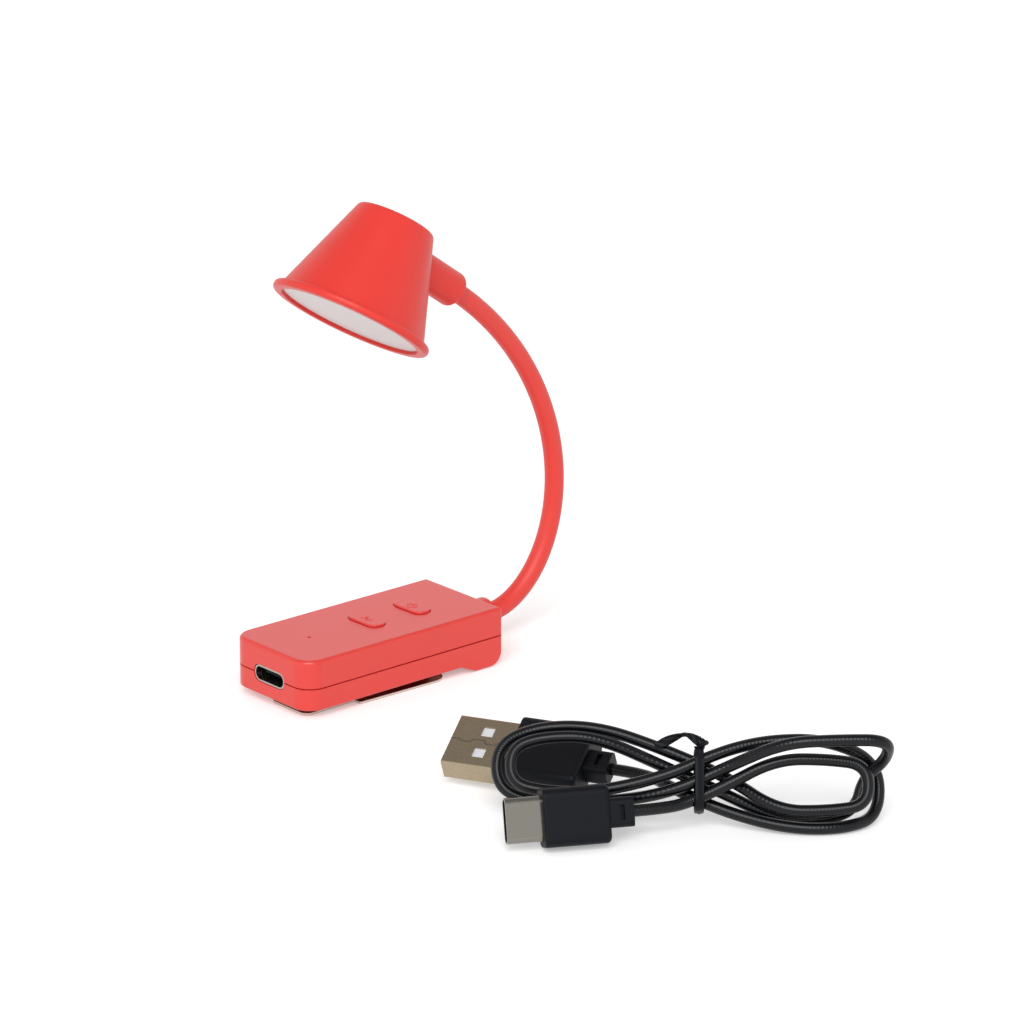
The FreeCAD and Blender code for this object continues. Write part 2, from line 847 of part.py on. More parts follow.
def make_board():
    board = new_body("circuit_board")
    drawn = new_sketch(board, "XY_Plane", "board_bottom")
    draw_box(drawn, "-board_width / 2", "board_width / 2", "board_front", "board_rear")
    add(board, "Pad", drawn, Length="board_thickness")
    # chip widths, lengths and heights, with each one's place across the board and behind the front button
    chips = [
        ("charger_chip", 4.0, 4.9, 1.5, 3.6, -6.9),
        ("driver_chip", 3.0, 2.9, 1.1, -4.4, -6.7),
        ("coil", 4.0, 4.0, 1.6, -4.0, -12.1),
        ("capacitor", 1.25, 2.0, 0.9, 4.4, -11.1),
        ("resistor", 0.8, 1.6, 0.5, 2.4, -12.1),
    ]
    blocks = []
    for name, across, along, tall, x, y in chips:
        block = doc.addObject("Part::Box", name)
        block.Width = along
        block.Length = across
        block.Height = tall
        middle_place = value("front_button_place") + y
        block.Placement = at(x - across / 2, middle_place - along / 2, value("board_top"))
        blocks.append(block)
    group("board_components", blocks)
    led = doc.addObject("Part::Box", "indicator_chip")
    led.Length = 0.8
    led.Width = 1.6
    led.Height = 0.6
    led.Placement = at(-0.4, value("indicator_place") - 0.8, value("board_top"))
    keep(led, "indicator_led")


def make_cell():
    cell = new_body("battery_cell")
    drawn = new_sketch(cell, "XY_Plane", "cell_bottom")
    draw_box(drawn, "-cell_width / 2", "cell_width / 2", "cell_front", "cell_front + cell_length")
    add(cell, "Pad", drawn, Length="cell_thickness")
    soften(
        cell,
        lambda e: runs_along(e, ALONG_Y),
        Radius="cell_edge_radius",
    )
    pad = new_body("battery_pad")
    drawn = new_sketch(pad, "XY_Plane", "floor_level")
    inset = "cell_edge_radius"
    draw_box(
        drawn,
        f"-cell_width / 2 + {inset}",
        f"cell_width / 2 - {inset}",
        f"cell_front + {inset}",
        f"cell_front + cell_length - {inset}",
    )
    add(pad, "Pad", drawn, Length="pad_thickness")
    leads = []
    for side in (-1, 1):
        bend = 2.5 * value("cell_lead_radius")
        level = value("cell_bottom + cell_thickness / 2")
        start = Vector(side * value("cell_width / 5"), value("cell_front"), level)
        foot = start - ALONG_Y * bend
        rise = Vector(foot.x, foot.y - bend, foot.z + bend)
        top = Vector(rise.x, rise.y, value("board_bottom"))
        edges = [
            Part.LineSegment(start, foot).toShape(),
            arc_from(foot, ALONG_Y * -1, rise),
            Part.LineSegment(rise, top).toShape(),
        ]
        lead = doc.addObject("Part::Feature", "battery_lead")
        lead.Shape = tube_solid(edges, value("cell_lead_radius"))
        leads.append(lead)
    group("battery_leads", leads)


# Neck


class Station:
    """A place on the neck's centre line, in the plane of the base's middle."""

    def __init__(self, spot, turn):
        self.spot = spot
        self.turn = turn

    def heading(self):
        return Vector(0, math.cos(self.turn), math.sin(self.turn))

    def inward(self):
        return Vector(0, -math.sin(self.turn), math.cos(self.turn))

    def after_arc(self, radius, length):
        centre = self.spot + self.inward() * radius
        turned = Station(self.spot, self.turn + length / radius)
        turned.spot = centre - turned.inward() * radius
        return turned


def bend_radius(link):
    return value("first_bend_radius") + link * value("bend_radius_step")


def neck_stations():
    """The centres that the neck bends about: the boss's mouth, each link's end, the stub's mouth."""
    found = [Station(Vector(0, value("boss_end"), value("seam_level")), 0.0)]
    for link in range(LINK_COUNT):
        found.append(found[-1].after_arc(bend_radius(link), value("link_length")))
    return found


STATIONS = neck_stations()


def dome(station):
    return primitive(
        "Sphere",
        Placement(station.spot, facing(station.heading())),
        Radius="core_radius",
        Angle1="0",
        Angle2="90",
    )


def socket(station):
    where = Placement(station.spot, facing(station.heading()))
    return primitive("Sphere", where, Radius="socket_radius")


def bore_ahead(station):
    return rod("core_bore_radius", "2 * core_radius", station.spot, station.heading())


def make_core_link(link):
    """A short bent tube of the core: a socket at its lower end and a dome at its upper end."""
    label = f"neck_core_link_{link + 1:02d}"
    lower, upper = STATIONS[link], STATIONS[link + 1]
    radius = f"(first_bend_radius + {link} * bend_radius_step)"
    centre = lower.spot + lower.inward() * bend_radius(link)
    frame = Rotation(lower.inward() * -1, lower.heading(), ALONG_X, "ZXY")
    turn = f"link_length / {radius} * 180 / pi"
    where = Placement(centre, frame)
    body = primitive("Torus", where, Radius1=radius, Radius2="core_radius", Angle3=turn)
    bore = primitive("Torus", where, Radius1=radius, Radius2="core_bore_radius", Angle3=turn)
    whole = fused(label + "_whole", [body, dome(upper)])
    keep(cut(label, whole, [bore, bore_ahead(upper), socket(lower)]), label)


def make_base_ferrule():
    mouth = STATIONS[0]
    collar_start = Vector(0, value("collar_front"), value("seam_level"))
    collar = rod("base_collar_radius", "base_collar_length", collar_start, ALONG_Y)
    spigot = rod("core_radius", "boss_end - collar_front", collar_start, ALONG_Y)
    whole = fused("base_ferrule_whole", [collar, spigot, dome(mouth)])
    bore_start = collar_start - ALONG_Y
    bore = rod("core_bore_radius", "boss_end - collar_front + core_radius + 2", bore_start, ALONG_Y)
    keep(cut("neck_base_ferrule", whole, [bore]), "neck_base_ferrule")


def make_head_ferrule():
    mouth = STATIONS[-1]
    heading = mouth.heading()
    spigot = rod("core_radius", "sleeve_in_head", mouth.spot, heading)
    collar_start = mouth.spot + heading * value("sleeve_in_head")
    collar = rod("neck_radius", "head_collar_length", collar_start, heading)
    whole = fused("head_ferrule_whole", [spigot, collar])
    bore = rod("core_bore_radius", "sleeve_in_head + head_collar_length + 2", mouth.spot - heading, heading)
    keep(cut("neck_head_ferrule", whole, [bore, socket(mouth)]), "neck_head_ferrule")


def neck_path(before, after, shift=0.0):
    """The neck's centre line: a straight lead-in, the links' arcs and a straight run into the head."""
    aside = ALONG_X * shift
    first, last = STATIONS[0], STATIONS[-1]
    edges = [Part.LineSegment(first.spot - first.heading() * before + aside, first.spot + aside).toShape()]
    for here, there in zip(STATIONS, STATIONS[1:]):
        edges.append(arc_from(here.spot + aside, here.heading(), there.spot + aside))
    edges.append(Part.LineSegment(last.spot + aside, last.spot + last.heading() * after + aside).toShape())
    return edges


def make_sleeve():
    edges = neck_path(value("boss_end - collar_rear - neck_fit"), value("sleeve_in_head - neck_fit"))
    outer = tube_solid(edges, value("neck_radius"))
    inner = tube_solid(edges, value("sleeve_inner"))
    sleeve = doc.addObject("Part::Feature", "neck_sleeve")
    sleeve.Shape = outer.cut(inner)
    keep(sleeve, "neck_sleeve")
    print(f"neck sleeve: {Part.Wire(edges).Length:.1f} mm along its middle")


HEAD_TURN = Rotation(ALONG_X, math.degrees(STATIONS[-1].turn) - 180)
HEAD_PLACE = Placement(
    STATIONS[-1].spot + STATIONS[-1].heading() * value("stub_reach"),
    HEAD_TURN * Rotation(ALONG_Y, -value("head_twist")),
)


def in_head(x, y, z):
    return HEAD_PLACE.multVec(Vector(x, y, z))


def make_lamp_leads():
    """Two leads from the board, through the core, to the LED board."""
    leads = []
    ferrule_end = value("boss_end - collar_front") + 0.4
    into_head = value("stub_reach - shade_top_radius")
    for side in (-1, 1):
        shift = side * value("lamp_lead_spread / 2")
        edges = neck_path(ferrule_end, into_head, shift)
        start = edges[0].valueAt(edges[0].FirstParameter)
        board_spot = Vector(start.x, value("board_rear") - 1.0, value("board_bottom"))
        first = biarc(board_spot, ALONG_Z * -1, start, ALONG_Y)
        end = edges[-1].valueAt(edges[-1].LastParameter)
        heading = STATIONS[-1].heading()
        down = HEAD_PLACE.Rotation.multVec(ALONG_Z * -1)
        drop = HEAD_PLACE.inverse().multVec(end).z - value("led_board_top")
        led_spot = end + heading * value("shade_top_radius / 2") + down * drop
        last = biarc(end, heading, led_spot, down)
        lead = doc.addObject("Part::Feature", "lamp_lead")
        lead.Shape = tube_solid(first + edges + last, value("lamp_lead_radius"))
        leads.append(lead)
    group("neck_leads", leads)


# Head, drawn about the shade's axis with the stub along +Y


def make_shade():
    shade = new_body("shade")
    drawn = new_sketch(shade, "XZ_Plane")
    draw_outline(
        drawn,
        [
            ("0", "rim_level"),
            ("shade_rim_radius", "rim_level"),
            ("shade_rim_radius", "cone_rim_level"),
            ("cone_rim_radius", "cone_rim_level"),
            ("shade_top_radius", "stub_below_top"),
            ("0", "stub_below_top"),
        ],
    )
    add(shade, "Revolution", drawn)
    soften(
        shade,
        lambda e: near(middle(e).z, value("stub_below_top")),
        Radius="shade_top_edge_radius",
    )
    rim = value("shade_rim_radius")
    soften(
        shade,
        lambda e: near(math.hypot(middle(e).x, middle(e).y), rim) and not upright(e),
        Radius="rim_edge_radius",
    )
    drawn = new_sketch(shade, "XZ_Plane")
    draw_circle(drawn, "0", "0", "stub_radius")
    add(shade, "Pad", drawn, back=True, Length="stub_reach")
    soften(
        shade,
        lambda e: near(middle(e).y, value("stub_reach")),
        Radius="stub_edge_radius",
    )
    drawn = new_sketch(shade, "XZ_Plane")
    seat_wall = "(lens_radius + lens_fit)"
    throat = "(lens_radius - lens_ledge)"
    draw_outline(
        drawn,
        [
            ("0", "rim_level"),
            (seat_wall, "rim_level"),
            (seat_wall, "lens_seat"),
            (throat, "lens_seat"),
            (f"{throat} - cone_slope * (shade_ceiling - lens_seat)", "shade_ceiling"),
            ("0", "shade_ceiling"),
        ],
    )
    add(shade, "Groove", drawn)
    drawn = new_sketch(shade, "XZ_Plane", "-stub_reach")
    draw_circle(drawn, "0", "0", "neck_bore")
    add(shade, "Pocket", drawn, back=True, Length="stub_reach")
    drawn = new_sketch(shade, "XY_Plane", "led_board_top")
    for side in ("", "-"):
        draw_circle(drawn, side + "led_post_spread", "0", "led_post_radius")
    add(shade, "Pad", drawn, Length="shade_ceiling - led_board_top")
    drawn = new_sketch(shade, "XY_Plane", "led_board_top")
    for side in ("", "-"):
        draw_circle(drawn, side + "led_post_spread", "0", "led_screw_radius + screw_clearance")
    add(shade, "Pocket", drawn, back=True, Length="led_board_depth")
    shade.Placement = HEAD_PLACE


def make_diffuser():
    lens = new_body("diffuser")
    drawn = new_sketch(lens, "XY_Plane", "rim_level + lens_recess")
    draw_circle(drawn, "0", "0", "lens_radius")
    add(lens, "Pad", drawn, Length="lens_thickness")
    lens.Placement = HEAD_PLACE


def make_led_board():
    board = new_body("led_board")
    drawn = new_sketch(board, "XY_Plane", "led_board_bottom")
    draw_circle(drawn, "0", "0", "led_board_radius")
    add(board, "Pad", drawn, Length="led_board_thickness")
    drawn = new_sketch(board, "XY_Plane", "led_board_top")
    for side in ("", "-"):
        draw_circle(drawn, side + "led_post_spread", "0", "led_screw_radius + screw_clearance")
    add(board, "Pocket", drawn, Length="led_board_thickness")
    board.Placement = HEAD_PLACE
    chips = []
    for number in range(LED_COUNT):
        turn = Rotation(ALONG_Z, 360 / LED_COUNT * (number + 0.5))
        corner = Vector(
            value("led_circle_radius - led_length / 2"),
            -value("led_width / 2"),
            value("led_board_bottom - led_height"),
        )
        where = HEAD_PLACE * Placement(turn.multVec(corner), turn)
        chips.append(
            primitive("Box", where, Length="led_length", Width="led_width", Height="led_height")
        )
    group("led_chips", chips)
    screws = []
    up = HEAD_PLACE.Rotation.multVec(ALONG_Z)
    for side in (-1, 1):
        x = side * value("led_post_spread")
        head_spot = in_head(x, 0, value("led_board_bottom - led_screw_head_height"))
        head = rod("led_screw_head_radius", "led_screw_head_height", head_spot, up)
        shank_length = "led_screw_head_height + led_board_thickness + led_board_depth * 0.8"
        shank = rod("led_screw_radius", shank_length, head_spot, up)
        screws.append(fused("led_board_screw", [head, shank]))
    group("led_board_screws", screws)


# Charging lead, in a frame of its own: across, back and up from the floor under its tie


LEAD_PLACE = Placement(
    Vector(value("lead_place_x"), value("lead_place_y"), 0),
    Rotation(ALONG_Z, value("lead_turn")),
)


def in_hank(across, up_slope, forward):
    """A point of the leaning hank: along it, up its slope, and out of its face."""
    tilt = math.radians(value("hank_tilt"))
    back = up_slope * math.cos(tilt) - forward * math.sin(tilt)
    high = up_slope * math.sin(tilt) + forward * math.cos(tilt)
    return Vector(across, back, value("hank_height") + high)


def plug_frame(tip_direction, roll):
    """A rotation that points +X at the tip, with +Y across the plug, rolled up by an angle."""
    return Rotation(ALONG_X, tip_direction) * Rotation(ALONG_X, roll)


USB_C_CORD_END = Vector(-12.2, -7.2, 5.7)
USB_C_TIP_DIRECTION = Vector(-0.977, -0.213, 0)
USB_C_ROLL = 110.0
USB_A_CORD_END = Vector(-15.5, 12.2, 6.1)
USB_A_TIP_DIRECTION = Vector(-0.928, 0.372, 0)
USB_A_ROLL = 153.0


def hank_way(across, up_slope, forward=0.0):
    """The direction of a run along the hank, up its slope and out of its face."""
    return (in_hank(across, up_slope, forward) - in_hank(0, 0, 0)).normalize()


RIGHT_WAY = hank_way(1, 0)
LEFT_WAY = hank_way(-1, 0)
DOWN_WAY = hank_way(0, -1)


def inner_right_loop():
    return [
        (in_hank(19.0, 3.5, 2.8), RIGHT_WAY),
        (in_hank(30.3, -1.2, 2.1), DOWN_WAY),
        (in_hank(19.8, -5.7, 1.9), LEFT_WAY),
    ]


def outer_left_loop():
    return [
        (in_hank(-24.5, 10.2, -1.9), LEFT_WAY),
        (in_hank(-36.3, 3.0, -3.6), DOWN_WAY),
        (in_hank(-25.0, -3.6, -2.4), RIGHT_WAY),
    ]


def turned_right_loop():
    """The loop that stands out of the hank: its far end turns away behind the others."""
    return [
        (in_hank(20.6, 6.1, 7.2), hank_way(1, 0.05)),
        (in_hank(33.8, 4.8, 2.9), hank_way(0, -0.35, -1)),
        (in_hank(29.0, -1.9, -1.8), hank_way(-0.25, -1, -0.1)),
        (in_hank(19.8, -6.7, -3.3), LEFT_WAY),
    ]


def inner_left_loop():
    return [
        (in_hank(-25.0, 7.9, 0.8), LEFT_WAY),
        (in_hank(-33.8, 2.8, 0.4), DOWN_WAY),
        (in_hank(-24.0, -2.1, 0.9), RIGHT_WAY),
    ]


def outer_right_loop():
    return [
        (in_hank(17.5, 7.3, 1.1), RIGHT_WAY),
        (in_hank(32.6, -1.6, -4.1), DOWN_WAY),
        (in_hank(21.8, -8.7, 0.3), LEFT_WAY),
    ]


def rising(level):
    """A strand that passes the tie on its way up to the right, in front."""
    return (in_hank(0, level * value("tie_pitch"), value("tie_layer")), hank_way(1, value("tie_slope")))


def falling(level):
    """A strand that passes the tie on its way up to the left, behind."""
    return (in_hank(0, level * value("tie_pitch"), -value("tie_layer")), hank_way(-1, value("tie_slope")))


def cord_knots():
    """The cord from one plug to the other: three loops on the right of the tie and two on the left."""
    straight = value("cord_diameter")
    c_way = USB_C_TIP_DIRECTION.normalize() * -1
    a_way = USB_A_TIP_DIRECTION.normalize()
    return [
        (USB_C_CORD_END, c_way),
        (USB_C_CORD_END + c_way * straight, c_way),
        rising(-1),
        *inner_right_loop(),
        falling(1),
        *outer_left_loop(),
        rising(0),
        *turned_right_loop(),
        falling(0),
        *inner_left_loop(),
        rising(1),
        *outer_right_loop(),
        falling(-1),
        (USB_A_CORD_END - a_way * straight, a_way),
        (USB_A_CORD_END, a_way),
    ]


def least_gap(path, diameter):
    """The least clear distance between stretches of a cord that aren't neighbours along it."""
    count = int(path.Length / (0.25 * diameter))
    spots = path.discretize(Number=count)
    apart = int(2.2 * diameter / (path.Length / count))
    least = path.Length
    for here in range(count):
        for there in range(here + apart, count):
            least = min(least, (spots[here] - spots[there]).Length)
    return least - diameter


def make_cord():
    knots = cord_knots()
    edges = []
    radii = []
    for (start, heading), (end, arrival) in zip(knots, knots[1:]):
        if (end - start).normalize().dot(heading) > 0.999999:
            edges.append(Part.LineSegment(start, end).toShape())
            continue
        for edge in biarc(start, heading, end, arrival):
            edges.append(edge)
            if edge.Curve.TypeId == "Part::GeomCircle":
                radii.append(edge.Curve.Radius)
    path = Part.Wire(edges)
    cord = doc.addObject("Part::Feature", "lead_cord")
    cord.Shape = tube_solid(edges, value("cord_diameter / 2"))
    cord.Placement = LEAD_PLACE
    keep(cord, "lead_cord")
    print(f"lead cord: {path.Length:.0f} mm long, tightest bends {sorted(round(r, 1) for r in radii)[:6]} mm")
    print(f"lead cord: least gap to itself {least_gap(path, value('cord_diameter')):.2f} mm")


def make_tie():
    """The twist tie: a flat ring round the bundle, with its twisted ends laid to one side."""
    tie = new_body("lead_tie")
    inner_up = "tie_pitch + cord_diameter / 2 + tie_slope * tie_width / 2 + 2 * tie_clearance"
    inner_out = "tie_layer + cord_diameter / 2 + tie_clearance"
    drawn = new_sketch(tie, "YZ_Plane", "-tie_width / 2")
    outer_up = inner_up + " + tie_thickness"
    outer_out = inner_out + " + tie_thickness"
    draw_box(drawn, f"-({outer_up})", outer_up, f"-({outer_out})", outer_out)
    add(tie, "Pad", drawn, Length="tie_width")
    soften(tie, lambda e: runs_along(e, ALONG_X), Radius="tie_thickness + cord_diameter / 2 + 0.3")
    drawn = new_sketch(tie, "YZ_Plane", "-tie_width / 2")
    draw_box(drawn, f"-({inner_up})", inner_up, f"-({inner_out})", inner_out)
    add(tie, "Pocket", drawn, back=True, Length="tie_width")
    inner_edge = value(inner_up)
    soften(
        tie,
        lambda e: runs_along(e, ALONG_X) and near(abs(middle(e).y), inner_edge),
        Radius="cord_diameter / 2 + 0.3",
    )
    drawn = new_sketch(tie, "YZ_Plane", "tie_width / 2")
    draw_box(drawn, inner_up, outer_up, "tie_width * 0.05", "tie_width * 0.6")
    add(tie, "Pad", drawn, back=True, Length="tie_width * 5")
    soften(tie, lambda e: middle(e).x < -value("tie_width"), Radius="tie_thickness * 0.3")
    tilt = Rotation(ALONG_X, value("hank_tilt"))
    tie.Placement = LEAD_PLACE * Placement(Vector(0, 0, value("hank_height")), tilt)


def make_grip(label, where, width, height, length):
    """A moulded plug grip with its slotted strain relief."""
    grip = new_body(label)
    drawn = new_sketch(grip, "YZ_Plane", "relief_length")
    draw_box(drawn, f"-{width} / 2", f"{width} / 2", f"-{height} / 2", f"{height} / 2")
    add(grip, "Pad", drawn, Length=length)
    soften(grip, lambda e: runs_along(e, ALONG_X), Radius="grip_edge_radius * 1.6")
    front = value("relief_length + " + length)
    soften(grip, lambda e: near(middle(e).x, front), Radius="grip_edge_radius * 0.4")
    soften(grip, lambda e: near(middle(e).x, value("relief_length")), Radius="grip_edge_radius * 0.8")
    drawn = new_sketch(grip, "YZ_Plane", "0")
    draw_box(drawn, "-relief_width / 2", "relief_width / 2", "-relief_height / 2", "relief_height / 2")
    add(grip, "Pad", drawn, Length="relief_length")
    soften(
        grip,
        lambda e: runs_along(e, ALONG_X) and middle(e).x < value("relief_length"),
        Radius="grip_edge_radius",
    )
    for level, away in (("relief_height / 2", False), ("-relief_height / 2", True)):
        drawn = new_sketch(grip, "XY_Plane", level)
        slot_start = "relief_length / 2 - relief_slot_width / 2"
        slot_end = slot_start + " + relief_slot_width"
        draw_box(drawn, slot_start, slot_end, "-relief_width / 4", "relief_width / 4")
        add(grip, "Pocket", drawn, back=away, Length="relief_slot_depth")
    grip.Placement = where
    return grip


def make_plug_shell(label, where, width, height, length, wall, radius, start):
    """A drawn metal shell, open at its tip, with its closed end seated on the grip's face."""
    shell = new_body(label)
    drawn = new_sketch(shell, "YZ_Plane", start)
    draw_box(drawn, f"-{width} / 2", f"{width} / 2", f"-{height} / 2", f"{height} / 2")
    add(shell, "Pad", drawn, Length=length)
    soften(shell, lambda e: runs_along(e, ALONG_X), Radius=radius)
    tip = value(f"{start} + {length}")
    hollow(shell, lambda face: near(face.CenterOfMass.x, tip), wall)
    shell.Placement = where
    return shell


def make_plug_insert(label, where, width, height, length, start, level):
    insert = new_body(label)
    drawn = new_sketch(insert, "YZ_Plane", start)
    half_width = f"({width}) / 2"
    half_height = f"({height}) / 2"
    draw_box(drawn, "-" + half_width, half_width, f"{level} - {half_height}", f"{level} + {half_height}")
    add(insert, "Pad", drawn, Length=length)
    insert.Placement = where
    return insert


def make_usb_c_plug():
    where = LEAD_PLACE * Placement(USB_C_CORD_END, plug_frame(USB_C_TIP_DIRECTION, USB_C_ROLL))
    make_grip("usb_c_grip", where, "usb_c_grip_width", "usb_c_grip_height", "usb_c_grip_length")
    start = "(relief_length + usb_c_grip_length)"
    make_plug_shell(
        "usb_c_shell",
        where,
        "usb_c_width",
        "usb_c_height",
        "usb_c_length",
        "usb_c_wall",
        "usb_c_corner_radius",
        start,
    )
    make_plug_insert(
        "usb_c_insulator",
        where,
        "usb_c_width - 2 * usb_c_corner_radius",
        "(usb_c_height - 2 * usb_c_wall) * 0.3",
        "usb_c_length * 0.85 - usb_c_wall",
        start + " + usb_c_wall",
        "(usb_c_height / 2 - usb_c_wall) * 0.7",
    )


def make_usb_a_plug():
    where = LEAD_PLACE * Placement(USB_A_CORD_END, plug_frame(USB_A_TIP_DIRECTION, USB_A_ROLL))
    make_grip("usb_a_grip", where, "usb_a_grip_width", "usb_a_grip_height", "usb_a_grip_length")
    start = "(relief_length + usb_a_grip_length)"
    shell = make_plug_shell(
        "usb_a_shell",
        where,
        "usb_a_width",
        "usb_a_height",
        "usb_a_length",
        "usb_a_wall",
        "usb_a_corner_radius",
        start,
    )
    drawn = new_sketch(shell, "XY_Plane", "-usb_a_height / 2")
    half = "usb_a_window / 2"
    for side in ("usb_a_window_pitch / 2", "-usb_a_window_pitch / 2"):
        mid = start + " + usb_a_length - usb_a_window_place"
        draw_box(drawn, f"{mid} - {half}", f"{mid} + {half}", f"{side} - {half}", f"{side} + {half}")
    add(shell, "Pocket", drawn, back=True, Length="usb_a_wall")
    make_plug_insert(
        "usb_a_insulator",
        where,
        "usb_a_width - 2 * usb_a_corner_radius - usb_a_wall",
        "usb_a_height / 2 - usb_a_wall - 0.1",
        "usb_a_length - 2 * usb_a_wall",
        start + " + usb_a_wall",
        "-(usb_a_height / 2 - usb_a_wall + 0.1) / 2",
    )


def make_everything():
    make_upper_shell()
    make_lower_shell()
    make_shell_screws()
    make_clip_plate()
    make_clip_rivets()
    for name, station in BUTTON_STATIONS.items():
        make_button(name, station)
        make_switch(name, station)
    make_port()
    make_board()
    make_cell()
    make_base_ferrule()
    for link in range(LINK_COUNT):
        make_core_link(link)
    make_head_ferrule()
    make_sleeve()
    make_lamp_leads()
    make_shade()
    make_diffuser()
    make_led_board()
    make_cord()
    make_tie()
    make_usb_c_plug()
    make_usb_a_plug()


def write_parts():
    doc.recompute()
    for thing in doc.Objects:
        if {"Invalid", "Error"} & set(thing.State):
            raise ValueError(f"{thing.Label} failed: {thing.State}")
    for part in PARTS:
        if part.Shape.isNull() or not part.Shape.isValid() or not part.Shape.Solids:
            raise ValueError(f"{part.Label} has no sound solid")
    os.makedirs("parts", exist_ok=True)
    for part in PARTS:
        part.Shape.exportStep(f"parts/{part.Label}.step")
    print(f"{len(PARTS)} sub-parts written")


make_everything()
write_parts()
for number, station in enumerate(STATIONS):
    spot = station.spot
    print(f"neck joint {number}: y {spot.y:.3f} z {spot.z:.3f} turned {math.degrees(station.turn):.2f}")
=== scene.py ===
"""Looks of the clip-on reading lamp and its charging lead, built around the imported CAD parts.

Everything is in metres in the CAD's frame: +Z up, -Y the front of the base, +X its right side.
"""

import math

import bmesh
import bpy
from mathutils import Matrix, Quaternion, Vector
from mathutils.geometry import interpolate_bezier


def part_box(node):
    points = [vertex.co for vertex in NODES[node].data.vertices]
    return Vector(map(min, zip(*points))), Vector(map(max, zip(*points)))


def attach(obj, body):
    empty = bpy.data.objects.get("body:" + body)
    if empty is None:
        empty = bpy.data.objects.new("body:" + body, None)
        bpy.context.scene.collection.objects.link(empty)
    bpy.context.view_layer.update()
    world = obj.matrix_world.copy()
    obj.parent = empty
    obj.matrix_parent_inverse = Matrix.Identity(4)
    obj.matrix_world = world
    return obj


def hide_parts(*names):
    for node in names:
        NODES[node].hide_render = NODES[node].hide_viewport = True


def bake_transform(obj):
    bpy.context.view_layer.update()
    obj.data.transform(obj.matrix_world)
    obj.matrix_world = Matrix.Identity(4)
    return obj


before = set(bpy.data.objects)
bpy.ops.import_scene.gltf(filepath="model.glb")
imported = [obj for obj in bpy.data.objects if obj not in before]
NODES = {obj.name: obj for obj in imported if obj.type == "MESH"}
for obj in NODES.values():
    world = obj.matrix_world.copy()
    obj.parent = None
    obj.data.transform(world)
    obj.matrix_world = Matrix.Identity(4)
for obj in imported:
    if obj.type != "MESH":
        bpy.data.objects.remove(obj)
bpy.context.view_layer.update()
MM = 0.001

# Sizes shared with the CAD source, in millimetres

SEAM_LEVEL = 6.15
BASE_TOP = 11.85
BUTTON_PROUD = 0.4
FRONT_BUTTON_PLACE = -0.3
REAR_BUTTON_PLACE = 11.1
NECK_RADIUS = 1.925
LINK_LENGTH = 6.6
FIRST_BEND_RADIUS = 13.0
BEND_RADIUS_STEP = 5.3
LINK_COUNT = 13
BOSS_END = 30.6
STUB_REACH = 21.1
SHADE_TOP_RADIUS = 7.75
LAMP_LEAD_RADIUS = 0.33
LAMP_LEAD_SHIFT = 0.39
CORD_DIAMETER = 2.2
LEAD_PLACE = (97.7, -3.5, 0.0)
LEAD_TURN = 49.0
HANK_TILT = 60.0
HANK_HEIGHT = 8.6
TIE_UP = 5.55
TIE_OUT = 3.31
USB_A_CORD_END = (-15.5, 12.2, 6.1)
USB_A_TIP_DIRECTION = (-0.928, 0.372, 0)
USB_A_ROLL = 153.0
USB_A_BACK = 19.0
USB_A_TIP = 31.1
USB_A_HALF_HEIGHT = 2.25


# Mesh helpers


def new_piece(name, points, faces, material, sharp_angle=35.0):
    """An object made of points in millimetres and faces, shaded smooth up to an angle."""
    shape = bmesh.new()
    corners = [shape.verts.new(Vector(p) * MM) for p in points]
    for face in faces:
        shape.faces.new([corners[number] for number in face])
    bmesh.ops.recalc_face_normals(shape, faces=shape.faces)
    mesh = bpy.data.meshes.new(name)
    shape.to_mesh(mesh)
    shape.free()
    mesh.shade_smooth()
    mesh.set_sharp_from_angle(angle=math.radians(sharp_angle))
    mesh.materials.append(material)
    piece = bpy.data.objects.new(name, mesh)
    bpy.context.scene.collection.objects.link(piece)
    return piece


def rounded(corners, steps=8):
    """A closed outline from corners, each (x, y, radius), with an arc at each one that has a radius."""
    outline = []
    count = len(corners)
    for index, (x, y, radius) in enumerate(corners):
        here = Vector((x, y))
        if radius <= 0:
            outline.append(here)
            continue
        before = (Vector(corners[index - 1][:2]) - here).normalized()
        after = (Vector(corners[(index + 1) % count][:2]) - here).normalized()
        half = before.angle(after) / 2
        reach = radius / math.tan(half)
        centre = here + (before + after).normalized() * (radius / math.sin(half))
        start = here + before * reach - centre
        end = here + after * reach - centre
        turn = math.pi - 2 * half
        if start.cross(end) < 0:
            turn = -turn
        for step in range(steps + 1):
            outline.append(centre + Matrix.Rotation(turn * step / steps, 2) @ start)
    return outline


def circle(radius, sides):
    turns = [2 * math.pi * number / sides for number in range(sides)]
    return [(radius * math.cos(turn), radius * math.sin(turn)) for turn in turns]


def sweep(stations, outline, looped=False, ends=True):
    """Points and faces of an outline carried through stations of (spot, side, up)."""
    points = []
    faces = []
    sides = len(outline)
    rows = len(stations)
    for spot, side, up in stations:
        points += [spot + side * x + up * y for x, y in outline]
    for row in range(rows if looped else rows - 1):
        near = row * sides
        far = (row + 1) % rows * sides
        for number in range(sides):
            after = (number + 1) % sides
            faces.append((near + number, near + after, far + after, far + number))
    if ends and not looped:
        faces.append(tuple(range(sides)))
        faces.append(tuple(range((rows - 1) * sides, rows * sides)))
    return points, faces


def joined(*shapes):
    """One list of points and one of faces from several."""
    points = []
    faces = []
    for more_points, more_faces in shapes:
        first = len(points)
        points += more_points
        faces += [tuple(first + number for number in face) for face in more_faces]
    return points, faces


